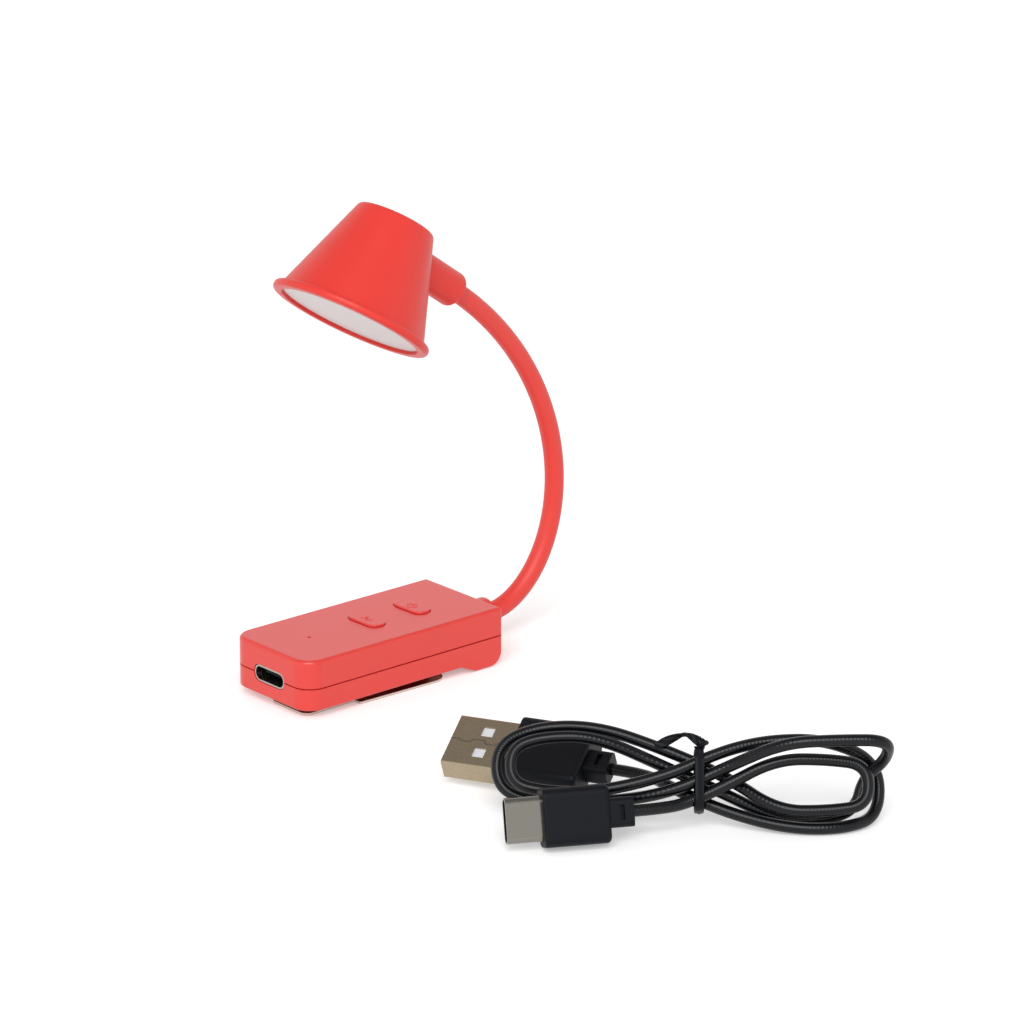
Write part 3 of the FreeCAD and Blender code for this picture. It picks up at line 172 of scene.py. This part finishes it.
def smooth_line(marks, count=8):
    """Points of a smooth line that passes through the marks."""
    line = []
    last = len(marks) - 1
    for index in range(last):
        here = marks[index]
        there = marks[index + 1]
        leaving = (there - marks[max(index - 1, 0)]) / 6
        arriving = (marks[min(index + 2, last)] - here) / 6
        line += interpolate_bezier(here, here + leaving, there - arriving, there, count)[:-1]
    return line + [marks[-1]]


def stations_on(line, side, twist=0.0):
    """Stations on a line, starting from a sideways direction and turned steadily by a twist in degrees."""
    found = []
    last = len(line) - 1
    for index, spot in enumerate(line):
        heading = (line[min(index + 1, last)] - line[max(index - 1, 0)]).normalized()
        side = (side - heading * side.dot(heading)).normalized()
        turned = Matrix.Rotation(math.radians(twist) * index / last, 3, heading) @ side
        found.append((spot, turned, heading.cross(turned)))
    return found


def new_lines(name, lines, thickness, material):
    """Thin round lines through lists of points in millimetres."""
    curve = bpy.data.curves.new(name, "CURVE")
    curve.dimensions = "3D"
    curve.bevel_depth = thickness / 2 * MM
    curve.bevel_resolution = 3
    curve.use_fill_caps = True
    for line in lines:
        spline = curve.splines.new("POLY")
        spline.points.add(len(line) - 1)
        for point, place in zip(spline.points, line):
            point.co = (*(Vector(place) * MM), 1.0)
    curve.materials.append(material)
    piece = bpy.data.objects.new(name, curve)
    bpy.context.scene.collection.objects.link(piece)
    return piece


# Materials


def new_material(name):
    material = bpy.data.materials.new(name)
    material.use_nodes = True
    tree = material.node_tree
    return material, tree, tree.nodes["Principled BSDF"]


def moulded(name, colour, roughness, grain=0.02, grain_size=0.00018, variation=0.04, specular=0.5, sheen=0.0):
    """A moulded skin: a fine pebbled grain, and slow changes in tone and gloss over the surface."""
    material, tree, shader = new_material(name)
    place = tree.nodes.new("ShaderNodeTexCoord")
    slow = tree.nodes.new("ShaderNodeTexNoise")
    slow.inputs["Scale"].default_value = 90.0
    slow.inputs["Detail"].default_value = 3.0
    tree.links.new(place.outputs["Object"], slow.inputs["Vector"])
    tone = tree.nodes.new("ShaderNodeMapRange")
    tone.inputs["To Min"].default_value = 1 - variation
    tone.inputs["To Max"].default_value = 1 + variation
    tree.links.new(slow.outputs["Fac"], tone.inputs["Value"])
    shade = tree.nodes.new("ShaderNodeMix")
    shade.data_type = "RGBA"
    shade.blend_type = "MULTIPLY"
    shade.inputs["Factor"].default_value = 1.0
    shade.inputs["A"].default_value = (*colour, 1)
    tree.links.new(tone.outputs["Result"], shade.inputs["B"])
    tree.links.new(shade.outputs["Result"], shader.inputs["Base Color"])
    gloss = tree.nodes.new("ShaderNodeMapRange")
    gloss.inputs["To Min"].default_value = roughness - 0.03
    gloss.inputs["To Max"].default_value = roughness + 0.03
    tree.links.new(slow.outputs["Fac"], gloss.inputs["Value"])
    tree.links.new(gloss.outputs["Result"], shader.inputs["Roughness"])
    fine = tree.nodes.new("ShaderNodeTexNoise")
    fine.inputs["Scale"].default_value = 1 / grain_size
    fine.inputs["Detail"].default_value = 2.0
    tree.links.new(place.outputs["Object"], fine.inputs["Vector"])
    bump = tree.nodes.new("ShaderNodeBump")
    bump.inputs["Strength"].default_value = 1.0
    bump.inputs["Distance"].default_value = grain * MM
    tree.links.new(fine.outputs["Fac"], bump.inputs["Height"])
    tree.links.new(bump.outputs["Normal"], shader.inputs["Normal"])
    shader.inputs["Specular IOR Level"].default_value = specular
    if sheen:
        shader.inputs["Sheen Weight"].default_value = sheen
        shader.inputs["Sheen Roughness"].default_value = 0.4
    return material


def plated(name, colour, roughness, stretch=(1, 1, 1)):
    """Plated sheet metal with faint drawn lines and small changes in gloss."""
    material, tree, shader = new_material(name)
    shader.inputs["Metallic"].default_value = 1.0
    shader.inputs["Base Color"].default_value = (*colour, 1)
    place = tree.nodes.new("ShaderNodeTexCoord")
    mapping = tree.nodes.new("ShaderNodeMapping")
    mapping.inputs["Scale"].default_value = stretch
    tree.links.new(place.outputs["Object"], mapping.inputs["Vector"])
    lines = tree.nodes.new("ShaderNodeTexNoise")
    lines.inputs["Scale"].default_value = 1500.0
    lines.inputs["Detail"].default_value = 4.0
    tree.links.new(mapping.outputs["Vector"], lines.inputs["Vector"])
    gloss = tree.nodes.new("ShaderNodeMapRange")
    gloss.inputs["To Min"].default_value = roughness - 0.06
    gloss.inputs["To Max"].default_value = roughness + 0.08
    tree.links.new(lines.outputs["Fac"], gloss.inputs["Value"])
    tree.links.new(gloss.outputs["Result"], shader.inputs["Roughness"])
    bump = tree.nodes.new("ShaderNodeBump")
    bump.inputs["Distance"].default_value = 0.002 * MM
    tree.links.new(lines.outputs["Fac"], bump.inputs["Height"])
    tree.links.new(bump.outputs["Normal"], shader.inputs["Normal"])
    return material


def add_rings(material, count, height):
    """Faint rings pressed into a cord's sheath, counted along its length."""
    tree = material.node_tree
    place = tree.nodes.new("ShaderNodeTexCoord")
    rings = tree.nodes.new("ShaderNodeTexWave")
    rings.bands_direction = "X"
    rings.inputs["Scale"].default_value = count * 2 * math.pi / 20
    tree.links.new(place.outputs["UV"], rings.inputs["Vector"])
    pressed = tree.nodes.new("ShaderNodeBump")
    pressed.inputs["Distance"].default_value = height * MM
    tree.links.new(rings.outputs["Fac"], pressed.inputs["Height"])
    grain = next(node for node in tree.nodes if node.bl_idname == "ShaderNodeBump")
    tree.links.new(pressed.outputs["Normal"], grain.inputs["Normal"])


CORAL = (0.79, 0.046, 0.034)
CORD_RINGS = 620
CORD_RING_HEIGHT = 0.02

coral_plastic = moulded("coral_plastic", CORAL, 0.29, grain=0.003, specular=0.6)
shade_plastic = moulded("shade_plastic", CORAL, 0.38, grain=0.003, specular=0.34)
coral_silicone = moulded("coral_silicone", (0.79, 0.050, 0.037), 0.44, grain=0.003, sheen=0.05)
black_plastic = moulded("black_plastic", (0.0042, 0.0048, 0.0075), 0.46, grain=0.006, specular=0.16)
cord_sheath = moulded("cord_sheath", (0.0024, 0.0029, 0.0044), 0.24, grain=0.003, specular=0.3)
add_rings(cord_sheath, CORD_RINGS, CORD_RING_HEIGHT)
seam_dark = moulded("seam_dark", (0.05, 0.042, 0.03), 0.5)
# painted shade: the coral's colour in shadow, for the lines in the shell seam and the button gaps
painted_seam_shade = moulded("painted_seam_shade", (0.30, 0.004, 0.007), 0.6, specular=0.1)
diffuser_white = moulded("diffuser_white", (0.80, 0.765, 0.755), 0.5, grain=0.003, variation=0.01)
white_plastic = moulded("white_plastic", (0.74, 0.75, 0.78), 0.5)
board_green = moulded("board_green", (0.03, 0.16, 0.07), 0.4)
board_white = moulded("board_white", (0.8, 0.8, 0.78), 0.4)
phosphor_yellow = moulded("phosphor_yellow", (0.85, 0.62, 0.18), 0.35)
foam_black = moulded("foam_black", (0.04, 0.04, 0.04), 0.9, grain=0.05, grain_size=0.0006)
wire_red = moulded("wire_red", (0.5, 0.03, 0.03), 0.4)
port_steel = plated("port_steel", (0.46, 0.43, 0.40), 0.25)
spring_steel = plated("spring_steel", (0.62, 0.55, 0.50), 0.16, (0.1, 1, 1))
plug_steel = plated("plug_steel", (0.40, 0.33, 0.23), 0.26, (0.2, 1, 1))
plug_nickel = plated("plug_nickel", (0.25, 0.24, 0.21), 0.17, (0.2, 1, 1))
screw_steel = plated("screw_steel", (0.55, 0.55, 0.57), 0.35)
cell_foil = plated("cell_foil", (0.7, 0.71, 0.73), 0.4)
core_metal = plated("core_metal", (0.66, 0.66, 0.68), 0.35)
ferrule_brass = plated("ferrule_brass", (0.72, 0.52, 0.22), 0.3)

NODE_MATERIALS = {
    coral_plastic: ["upper_shell", "lower_shell", "power_button", "brightness_button"],
    shade_plastic: ["shade"],
    coral_silicone: ["neck_sleeve"],
    black_plastic: [
        "usb_port_tongue",
        "usb_c_insulator",
        "usb_a_grip",
        "usb_c_grip",
        "board_components",
        "power_switch_body",
        "brightness_switch_body",
        "lead_tie",
    ],
    cord_sheath: ["lead_cord"],
    diffuser_white: ["diffuser"],
    white_plastic: ["usb_a_insulator", "indicator_led", "power_switch_plunger", "brightness_switch_plunger"],
    board_green: ["circuit_board"],
    board_white: ["led_board"],
    phosphor_yellow: ["led_chips"],
    foam_black: ["battery_pad"],
    wire_red: ["battery_leads", "neck_leads"],
    port_steel: ["usb_port_shell"],
    spring_steel: ["clip_plate", "clip_rivets"],
    plug_steel: ["usb_a_shell"],
    plug_nickel: ["usb_c_shell"],
    screw_steel: ["shell_screws", "led_board_screws"],
    cell_foil: ["battery_cell"],
    core_metal: [f"neck_core_link_{number:02d}" for number in range(1, LINK_COUNT + 1)],
    ferrule_brass: ["neck_base_ferrule", "neck_head_ferrule"],
}
for material, names in NODE_MATERIALS.items():
    for name in names:
        NODES[name].data.materials.clear()
        NODES[name].data.materials.append(material)


# Camera, floor and light

CAMERA_SPOT = (706.2, -577.8, 341.3)
CAMERA_DOWN = 18.621
CAMERA_TURN = 48.957
FOCAL_PIXELS = 5000.0
PICTURE_PIXELS = 1024.0
SENSOR_WIDTH = 36.0
WORLD_LIGHT = 0.75
OVERHEAD = 0.42
FLOOR_LIFT = 0.32
FLOOR_REACH = 1.4
KEY_SPOT = (1.8, -1.9, 2.4)
KEY_TARGET = (0.03, 0, 0.04)
KEY_SIZE = 2.2
KEY_POWER = 74.0


def add_camera():
    lens = bpy.data.cameras.new("photo_camera")
    lens.sensor_width = SENSOR_WIDTH
    lens.lens = FOCAL_PIXELS / PICTURE_PIXELS * SENSOR_WIDTH
    lens.clip_start = 0.01
    camera = bpy.data.objects.new("photo_camera", lens)
    camera.location = Vector(CAMERA_SPOT) * MM
    camera.rotation_euler = (math.radians(90 - CAMERA_DOWN), 0, math.radians(CAMERA_TURN))
    bpy.context.scene.collection.objects.link(camera)
    bpy.context.scene.camera = camera


def seen_directly(tree):
    """1 for rays from the camera and for those that show in metal and gloss, and 0 for light on a surface."""
    path = tree.nodes.new("ShaderNodeLightPath")
    gloss = tree.nodes.new("ShaderNodeMath")
    gloss.operation = "MAXIMUM"
    tree.links.new(path.outputs["Is Camera Ray"], gloss.inputs[0])
    tree.links.new(path.outputs["Is Glossy Ray"], gloss.inputs[1])
    clear = tree.nodes.new("ShaderNodeMath")
    clear.operation = "MAXIMUM"
    tree.links.new(gloss.outputs["Value"], clear.inputs[0])
    tree.links.new(path.outputs["Is Transmission Ray"], clear.inputs[1])
    return clear.outputs["Value"]


def add_floor():
    reach = FLOOR_REACH
    material, tree, shader = new_material("floor_white")
    shader.inputs["Base Color"].default_value = (0.94, 0.94, 0.94, 1)
    shader.inputs["Roughness"].default_value = 0.9
    shader.inputs["Specular IOR Level"].default_value = 0.0
    shader.inputs["Emission Color"].default_value = (1, 1, 1, 1)
    lift = tree.nodes.new("ShaderNodeMath")
    lift.operation = "MULTIPLY"
    lift.inputs[1].default_value = FLOOR_LIFT
    tree.links.new(seen_directly(tree), lift.inputs[0])
    tree.links.new(lift.outputs["Value"], shader.inputs["Emission Strength"])
    corners = [(-reach, -reach, 0), (reach, -reach, 0), (reach, reach, 0), (-reach, reach, 0)]
    mesh = bpy.data.meshes.new("floor")
    mesh.from_pydata(corners, [], [(0, 1, 2, 3)])
    mesh.materials.append(material)
    floor = bpy.data.objects.new("floor", mesh)
    bpy.context.scene.collection.objects.link(floor)


def add_world():
    """A white studio, darker overhead."""
    world = bpy.data.worlds.new("studio")
    bpy.context.scene.world = world
    world.use_nodes = True
    tree = world.node_tree
    background = tree.nodes["Background"]
    place = tree.nodes.new("ShaderNodeTexCoord")
    axes = tree.nodes.new("ShaderNodeSeparateXYZ")
    tree.links.new(place.outputs["Generated"], axes.inputs["Vector"])
    sky = tree.nodes.new("ShaderNodeMapRange")
    sky.inputs["From Min"].default_value = 0.45
    sky.inputs["From Max"].default_value = 0.85
    sky.inputs["To Min"].default_value = 1.0
    sky.inputs["To Max"].default_value = OVERHEAD
    tree.links.new(axes.outputs["Z"], sky.inputs["Value"])
    tree.links.new(sky.outputs["Result"], background.inputs["Color"])
    strength = tree.nodes.new("ShaderNodeMapRange")
    strength.inputs["To Min"].default_value = WORLD_LIGHT
    strength.inputs["To Max"].default_value = 1.0
    tree.links.new(seen_directly(tree), strength.inputs["Value"])
    tree.links.new(strength.outputs["Result"], background.inputs["Strength"])


def add_lamp(name, spot, target, size, power):
    light = bpy.data.lights.new(name, "AREA")
    light.size = size
    light.energy = power
    lamp = bpy.data.objects.new(name, light)
    lamp.location = spot
    aim = Vector(target) - Vector(spot)
    lamp.rotation_euler = aim.to_track_quat("-Z", "Y").to_euler()
    bpy.context.scene.collection.objects.link(lamp)


# Charging lead


def lead_matrix():
    return Matrix.Translation(Vector(LEAD_PLACE)) @ Matrix.Rotation(math.radians(LEAD_TURN), 4, "Z")


def in_hank(across, up_slope, forward):
    """A point of the leaning hank in the CAD frame, in millimetres."""
    tilt = math.radians(HANK_TILT)
    back = up_slope * math.cos(tilt) - forward * math.sin(tilt)
    high = up_slope * math.sin(tilt) + forward * math.cos(tilt)
    return lead_matrix() @ Vector((across, back, HANK_HEIGHT + high))


# route of the cord, in the hank's own directions: along it, up its slope and out of its face
FROM_USB_C = [(-12.2, -6.1, 4.8), (-7.4, -5.6, 3.9)]
INNER_RIGHT_LOOP = [
    (-2.5, -4.4, 1.6),
    (4.7, -1.1, 1.6),
    (13.8, 3.5, 2.8),
    (22.8, 3.5, 2.8),
    (30.3, 2.6, 2.1),
    (30.3, -4.7, 2.1),
    (23.3, -5.7, 1.9),
    (14.0, -5.7, 1.9),
]
OUTER_LEFT_LOOP = [
    (5.2, 0.9, -1.6),
    (-5.9, 5.9, -1.6),
    (-18.0, 10.2, -1.9),
    (-28.7, 10.2, -1.9),
    (-36.3, 7.2, -3.6),
    (-36.3, -1.0, -3.6),
    (-29.0, -3.6, -2.4),
    (-18.4, -3.6, -2.4),
]
TURNED_RIGHT_LOOP = [
    (-6.0, -2.7, 1.6),
    (5.3, 2.4, 1.6),
    (14.8, 5.8, 7.2),
    (25.0, 6.3, 7.2),
    (33.8, 6.3, 7.1),
    (33.8, 3.9, 0.3),
    (29.7, 0.8, -1.5),
    (28.3, -4.8, -2.1),
    (22.8, -6.7, -3.3),
    (14.4, -6.7, -3.3),
]
INNER_LEFT_LOOP = [
    (4.9, -2.2, -1.6),
    (-6.1, 2.8, -1.6),
    (-18.3, 7.9, 0.8),
    (-28.1, 7.9, 0.8),
    (-33.8, 5.9, 0.4),
    (-33.8, -0.5, 0.4),
    (-27.3, -2.1, 0.9),
    (-17.8, -2.1, 0.9),
]
OUTER_RIGHT_LOOP = [
    (-5.7, 0.7, 1.6),
    (4.1, 5.2, 1.6),
    (13.0, 7.3, 1.1),
    (23.1, 7.3, 1.1),
    (32.6, 4.0, -4.1),
    (32.6, -5.8, -4.1),
    (26.0, -8.7, 0.3),
    (16.1, -8.7, 0.3),
]
TO_USB_A = [(5.2, -5.6, -1.6), (-4.5, -1.2, -1.6), (-8.9, 2.6, -9.5), (-15.5, 3.9, -11.8)]
CORD_ROUTE = (
    FROM_USB_C
    + INNER_RIGHT_LOOP
    + OUTER_LEFT_LOOP
    + TURNED_RIGHT_LOOP
    + INNER_LEFT_LOOP
    + OUTER_RIGHT_LOOP
    + TO_USB_A
)


def add_cord(with_pieces):
    curve = bpy.data.curves.new("charging_cord", "CURVE")
    curve.dimensions = "3D"
    curve.bevel_depth = CORD_DIAMETER / 2 * MM
    curve.bevel_resolution = 8
    curve.resolution_u = 14
    curve.use_fill_caps = True
    spline = curve.splines.new("NURBS")
    spline.points.add(len(CORD_ROUTE) - 1)
    for point, place in zip(spline.points, CORD_ROUTE):
        point.co = (*(in_hank(*place) * MM), 1.0)
    spline.order_u = 3
    spline.use_endpoint_u = True
    curve.materials.append(cord_sheath)
    cord = bpy.data.objects.new("charging_cord", curve)
    bpy.context.scene.collection.objects.link(cord)
    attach(cord, "base")
    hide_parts("lead_cord")


# section of the tie: a flat strip with a wire along its middle
TIE_SECTION = [
    (-0.85, 0.0),
    (-0.72, -0.2),
    (-0.32, -0.22),
    (0.0, -0.4),
    (0.32, -0.22),
    (0.72, -0.2),
    (0.85, 0.0),
    (0.72, 0.2),
    (0.32, 0.22),
    (0.0, 0.4),
    (-0.32, 0.22),
    (-0.72, 0.2),
]
TIE_TAIL = [
    (0.5, 5.4, 0.9),
    (0.4, 6.5, 1.1),
    (-0.8, 7.6, 0.9),
    (-2.4, 8.3, 0.8),
    (-4.3, 7.8, 0.6),
    (-6.4, 6.9, 0.3),
    (-7.9, 6.3, 0.1),
]
TIE_STUB = [(-0.4, 5.6, 0.9), (0.5, 6.2, 1.4), (1.0, 6.9, 1.0), (0.3, 7.5, 0.6)]
TIE_TAIL_TWIST = 330.0
TIE_STUB_TWIST = 200.0
TIE_CORNER_RADIUS = 2.3


def add_tie():
    """The wire tie: a band round the strands, and its two ends twisted together above it."""
    corners = [(TIE_UP, TIE_OUT), (-TIE_UP, TIE_OUT), (-TIE_UP, -TIE_OUT), (TIE_UP, -TIE_OUT)]
    ring = rounded([(up, out, TIE_CORNER_RADIUS) for up, out in corners])
    across = in_hank(1, 0, 0) - in_hank(0, 0, 0)
    band = []
    for index, (up, out) in enumerate(ring):
        before = in_hank(0, *ring[index - 1])
        after = in_hank(0, *ring[(index + 1) % len(ring)])
        band.append((in_hank(0, up, out), across, (after - before).normalized().cross(across)))
    tail = smooth_line([in_hank(*place) for place in TIE_TAIL])
    stub = smooth_line([in_hank(*place) for place in TIE_STUB])
    outward = in_hank(0, 0, 1) - in_hank(0, 0, 0)
    shape = joined(
        sweep(band, TIE_SECTION, looped=True),
        sweep(stations_on(tail, outward, TIE_TAIL_TWIST), TIE_SECTION),
        sweep(stations_on(stub, across, TIE_STUB_TWIST), TIE_SECTION),
    )
    tie = new_piece("wire_tie", *shape, black_plastic, 50.0)
    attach(tie, "base")
    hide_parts("lead_tie")
    return tie


# folded joint in the larger plug's sheet, with each step's place from the tip and aside
PLUG_SEAM = [
    (0.0, 0.1),
    (1.7, 0.1),
    (2.0, -0.35),
    (3.9, -0.35),
    (4.2, 0.45),
    (6.5, 0.45),
    (6.8, -0.35),
    (8.7, -0.35),
    (9.0, 0.1),
    (USB_A_TIP - USB_A_BACK, 0.1),
]
PLUG_SEAM_THICKNESS = 0.24
PLUG_SEAM_DEPTH = 0.05


def add_plug_seam():
    """The folded joint in the sheet of the larger plug, between its two windows."""
    turn = Vector((1, 0, 0)).rotation_difference(Vector(USB_A_TIP_DIRECTION))
    roll = Quaternion((1, 0, 0), math.radians(USB_A_ROLL))
    pointed = (turn @ roll).to_matrix().to_4x4()
    place = lead_matrix() @ Matrix.Translation(Vector(USB_A_CORD_END)) @ pointed
    level = -USB_A_HALF_HEIGHT + PLUG_SEAM_DEPTH
    line = [place @ Vector((USB_A_TIP - back, aside, level)) for back, aside in PLUG_SEAM]
    seam = new_lines("usb_a_seam", [line], PLUG_SEAM_THICKNESS, seam_dark)
    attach(seam, "base")
    return seam


# Base


# clip blade: a tongue at the front, wings behind it and a notch for the tail, which steps up to the base
CLIP_THICKNESS = 0.5
TONGUE_FRONT = -22.7
TONGUE_LEFT = -2.7
TONGUE_RIGHT = 8.8
TONGUE_ROOT_RIGHT = 8.4
WING_FRONT = -10.6
WING_REAR = 11.4
WING_FRONT_SIDE = 10.4
WING_REAR_SIDE = 11.1
NOTCH_SIDE = 6.5
NOTCH_FRONT = 9.5
TAIL_SIDE = 6.0
TAIL_HALF_THICKNESS = 0.23
CLIP_TAIL = [(8.4, 0.26), (9.2, 0.26), (9.6, 0.33), (10.2, 0.9), (10.7, 1.43), (11.0, 1.5), (14.0, 1.5)]


def add_clip():
    """The spring blade, and its tail that steps up to the base."""
    outline = rounded(
        [
            (TONGUE_LEFT, TONGUE_FRONT, 2.2),
            (TONGUE_RIGHT, TONGUE_FRONT, 1.6),
            (TONGUE_ROOT_RIGHT, WING_FRONT, 0.6),
            (WING_FRONT_SIDE, WING_FRONT, 0.4),
            (WING_REAR_SIDE, WING_REAR, 3.4),
            (NOTCH_SIDE, WING_REAR, 0.4),
            (NOTCH_SIDE, NOTCH_FRONT, 0.3),
            (-NOTCH_SIDE, NOTCH_FRONT, 0.3),
            (-NOTCH_SIDE, WING_REAR, 0.4),
            (-WING_REAR_SIDE, WING_REAR, 3.4),
            (-WING_FRONT_SIDE, WING_FRONT, 0.4),
            (TONGUE_LEFT, WING_FRONT, 0.6),
        ]
    )
    flat = (Vector((1, 0, 0)), Vector((0, 1, 0)))
    blade = sweep([(Vector((0, 0, level)), *flat) for level in (0.0, CLIP_THICKNESS)], outline)
    line = smooth_line([Vector((0, y, z)) for y, z in CLIP_TAIL])
    strip = [
        (-TAIL_SIDE, -TAIL_HALF_THICKNESS),
        (TAIL_SIDE, -TAIL_HALF_THICKNESS),
        (TAIL_SIDE, TAIL_HALF_THICKNESS),
        (-TAIL_SIDE, TAIL_HALF_THICKNESS),
    ]
    tail = sweep(stations_on(line, Vector((1, 0, 0))), strip)
    clip = new_piece("clip_blade", *joined(blade, tail), spring_steel)
    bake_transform(clip)
    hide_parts("clip_plate")


# painted shade: dark red lines laid in the seam between the shells and in the gaps round the buttons, where
# shade falls in the grooves
SEAM_THICKNESS = 0.28
SEAM_SIDE = 11.44
SEAM_END = 24.44
SEAM_FRONT_RADIUS = 3.84
SEAM_REAR_RADIUS = 0.64
SEAM_PORT_SIDE = 4.7
SEAM_BOSS_SIDE = 3.3
GAP_SIDE = 4.42
GAP_REACH = 2.07
GAP_RADIUS = 1.97
GAP_DEPTH = 0.09


def add_painted_seam_shade():
    """Painted shade: dark red lines in the joint between the two shells and in the gaps round the buttons,
    standing in for the shade in these grooves.
    """
    lines = []
    for side in (-1, 1):
        half = [
            (side * SEAM_PORT_SIDE, -SEAM_END, 0),
            (side * SEAM_SIDE, -SEAM_END, SEAM_FRONT_RADIUS),
            (side * SEAM_SIDE, SEAM_END, SEAM_REAR_RADIUS),
            (side * SEAM_BOSS_SIDE, SEAM_END, 0),
        ]
        lines.append([(x, y, SEAM_LEVEL) for x, y in rounded(half)])
    for middle in (FRONT_BUTTON_PLACE, REAR_BUTTON_PLACE):
        far = middle + GAP_REACH
        near = middle - GAP_REACH
        places = [(-GAP_SIDE, near), (GAP_SIDE, near), (GAP_SIDE, far), (-GAP_SIDE, far)]
        ring = rounded([(x, y, GAP_RADIUS) for x, y in places])
        lines.append([(x, y, BASE_TOP - GAP_DEPTH) for x, y in ring + ring[:1]])
    # painted shade in the seam and button gaps
    seam_shade = new_lines("painted_seam_shade_lines", lines, SEAM_THICKNESS, painted_seam_shade)
    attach(seam_shade, "base")


SIGN_THICKNESS = 0.2
POWER_RING_RADIUS = 1.05
POWER_RING_START = 130
POWER_RING_TURN = 280
POWER_RING_STEPS = 24


def add_signs():
    """Raised signs on the buttons: the common on-off sign, and a zigzag for brightness."""
    level = BASE_TOP + BUTTON_PROUD
    ring = []
    for step in range(POWER_RING_STEPS + 1):
        turn = math.radians(POWER_RING_START + POWER_RING_TURN * step / POWER_RING_STEPS)
        aside = POWER_RING_RADIUS * math.cos(turn)
        behind = POWER_RING_RADIUS * math.sin(turn)
        ring.append((aside, REAR_BUTTON_PLACE + behind, level))
    bar = [(0, REAR_BUTTON_PLACE + 0.1, level), (0, REAR_BUTTON_PLACE + 1.3, level)]
    power = new_lines("power_sign", [ring, bar], SIGN_THICKNESS, coral_plastic)
    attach(power, "power_key")
    corners = [(-1.2, -0.6), (-0.35, 0.8), (0.35, -0.8), (1.2, 0.6)]
    zigzag = [(x, FRONT_BUTTON_PLACE + y, level) for x, y in corners]
    brightness = new_lines("brightness_sign", [zigzag], SIGN_THICKNESS, coral_plastic)
    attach(brightness, "brightness_key")


# Neck


def neck_place(run):
    """The spot and heading on the neck's centre line, a run in millimetres past the boss's mouth."""
    spot = Vector((0, BOSS_END, SEAM_LEVEL))
    turn = 0.0
    left = run
    for link in range(LINK_COUNT):
        if left <= 0:
            break
        radius = FIRST_BEND_RADIUS + link * BEND_RADIUS_STEP
        step = min(left, LINK_LENGTH)
        centre = spot + Vector((0, -math.sin(turn), math.cos(turn))) * radius
        turn += step / radius
        spot = centre - Vector((0, -math.sin(turn), math.cos(turn))) * radius
        left -= step
    heading = Vector((0, math.cos(turn), math.sin(turn)))
    if left > 0 or run < 0:
        spot = spot + heading * left
    return spot, heading, turn


def neck_stations(start, end, shift=0.0, spacing=0.4):
    steps = max(2, round((end - start) / spacing))
    found = []
    for step in range(steps + 1):
        spot, heading, turn = neck_place(start + (end - start) * step / steps)
        inward = Vector((0, -math.sin(turn), math.cos(turn)))
        found.append((spot + Vector((shift, 0, 0)), Vector((1, 0, 0)), inward))
    return found


def lead_end_in_base(shift):
    """From the board's underside down to the neck's centre line."""
    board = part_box("circuit_board")
    rear = board[1][1] / MM - 1.0
    marks = [
        (rear, board[0][2] / MM),
        (rear + 0.25, SEAM_LEVEL + 0.6),
        (rear + 1.1, SEAM_LEVEL + 0.08),
        (rear + 2.6, SEAM_LEVEL),
    ]
    line = smooth_line([Vector((shift, y, z)) for y, z in marks], 5)
    return stations_on(line, Vector((1, 0, 0)))


def lead_end_in_head(shift):
    """From the stub's mouth down to the LED board."""
    spot, heading, turn = neck_place(LINK_COUNT * LINK_LENGTH + STUB_REACH - SHADE_TOP_RADIUS)
    down = Vector((0, -math.sin(turn), math.cos(turn)))
    spot = spot + Vector((shift, 0, 0))
    marks = [(0.0, 0.0), (2.2, 0.5), (3.5, 1.9), (3.9, 3.9)]
    line = smooth_line([spot + heading * far + down * drop for far, drop in marks], 5)
    return stations_on(line, Vector((1, 0, 0)))


# how far the sleeve and the lamp leads run on past the first and the last joint
SLEEVE_IN_BASE = 8.2
SLEEVE_IN_STUB = 5.1
LEADS_IN_BASE = 13.8
LEADS_SHORT_OF_BEND = 0.4
BLEND_REACH = LINK_LENGTH * 0.48


def add_neck():
    """One stretch of sleeve and leads over each joint, from the middle of one link to the next."""
    chain = ["base"] + [f"link_{number:02d}" for number in range(1, LINK_COUNT + 1)] + ["head"]
    whole = LINK_COUNT * LINK_LENGTH
    skin = circle(NECK_RADIUS, 56)
    wire = circle(LAMP_LEAD_RADIUS, 12)
    for joint in range(LINK_COUNT + 1):
        first = joint == 0
        last = joint == LINK_COUNT
        middle = joint * LINK_LENGTH
        start = -SLEEVE_IN_BASE if first else middle - LINK_LENGTH / 2
        end = whole + SLEEVE_IN_STUB if last else middle + LINK_LENGTH / 2
        spot, heading, turn = neck_place(middle)
        bodies = [chain[joint], chain[joint + 1]]
        places = [(spot - heading * BLEND_REACH) * MM, (spot + heading * BLEND_REACH) * MM]
        if joint == LINK_COUNT - 1:
            # the bodies and places of this stretch are listed from its far end
            bodies.reverse()
            places.reverse()
        tube = sweep(neck_stations(start, end), skin, ends=False)
        sleeve = new_piece(f"neck_sleeve_{joint + 1:02d}", *tube, coral_silicone)
        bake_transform(sleeve)
        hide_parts("neck_sleeve")
        start = -LEADS_IN_BASE if first else start
        end = whole + STUB_REACH - SHADE_TOP_RADIUS - LEADS_SHORT_OF_BEND if last else end
        wires = []
        for shift in (-LAMP_LEAD_SHIFT, LAMP_LEAD_SHIFT):
            before = lead_end_in_base(shift) if first else []
            after = lead_end_in_head(shift) if last else []
            wires.append(sweep(before + neck_stations(start, end, shift) + after, wire))
        leads = new_piece(f"lamp_leads_{joint + 1:02d}", *joined(*wires), wire_red)
        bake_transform(leads)
        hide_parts("neck_leads")


# Build


bpy.context.scene.view_settings.view_transform = "Standard"
add_camera()
add_floor()
add_world()
add_lamp("key", KEY_SPOT, KEY_TARGET, KEY_SIZE, KEY_POWER)
add_clip()
add_painted_seam_shade()
add_signs()
add_neck()
add_cord([add_tie(), add_plug_seam()])
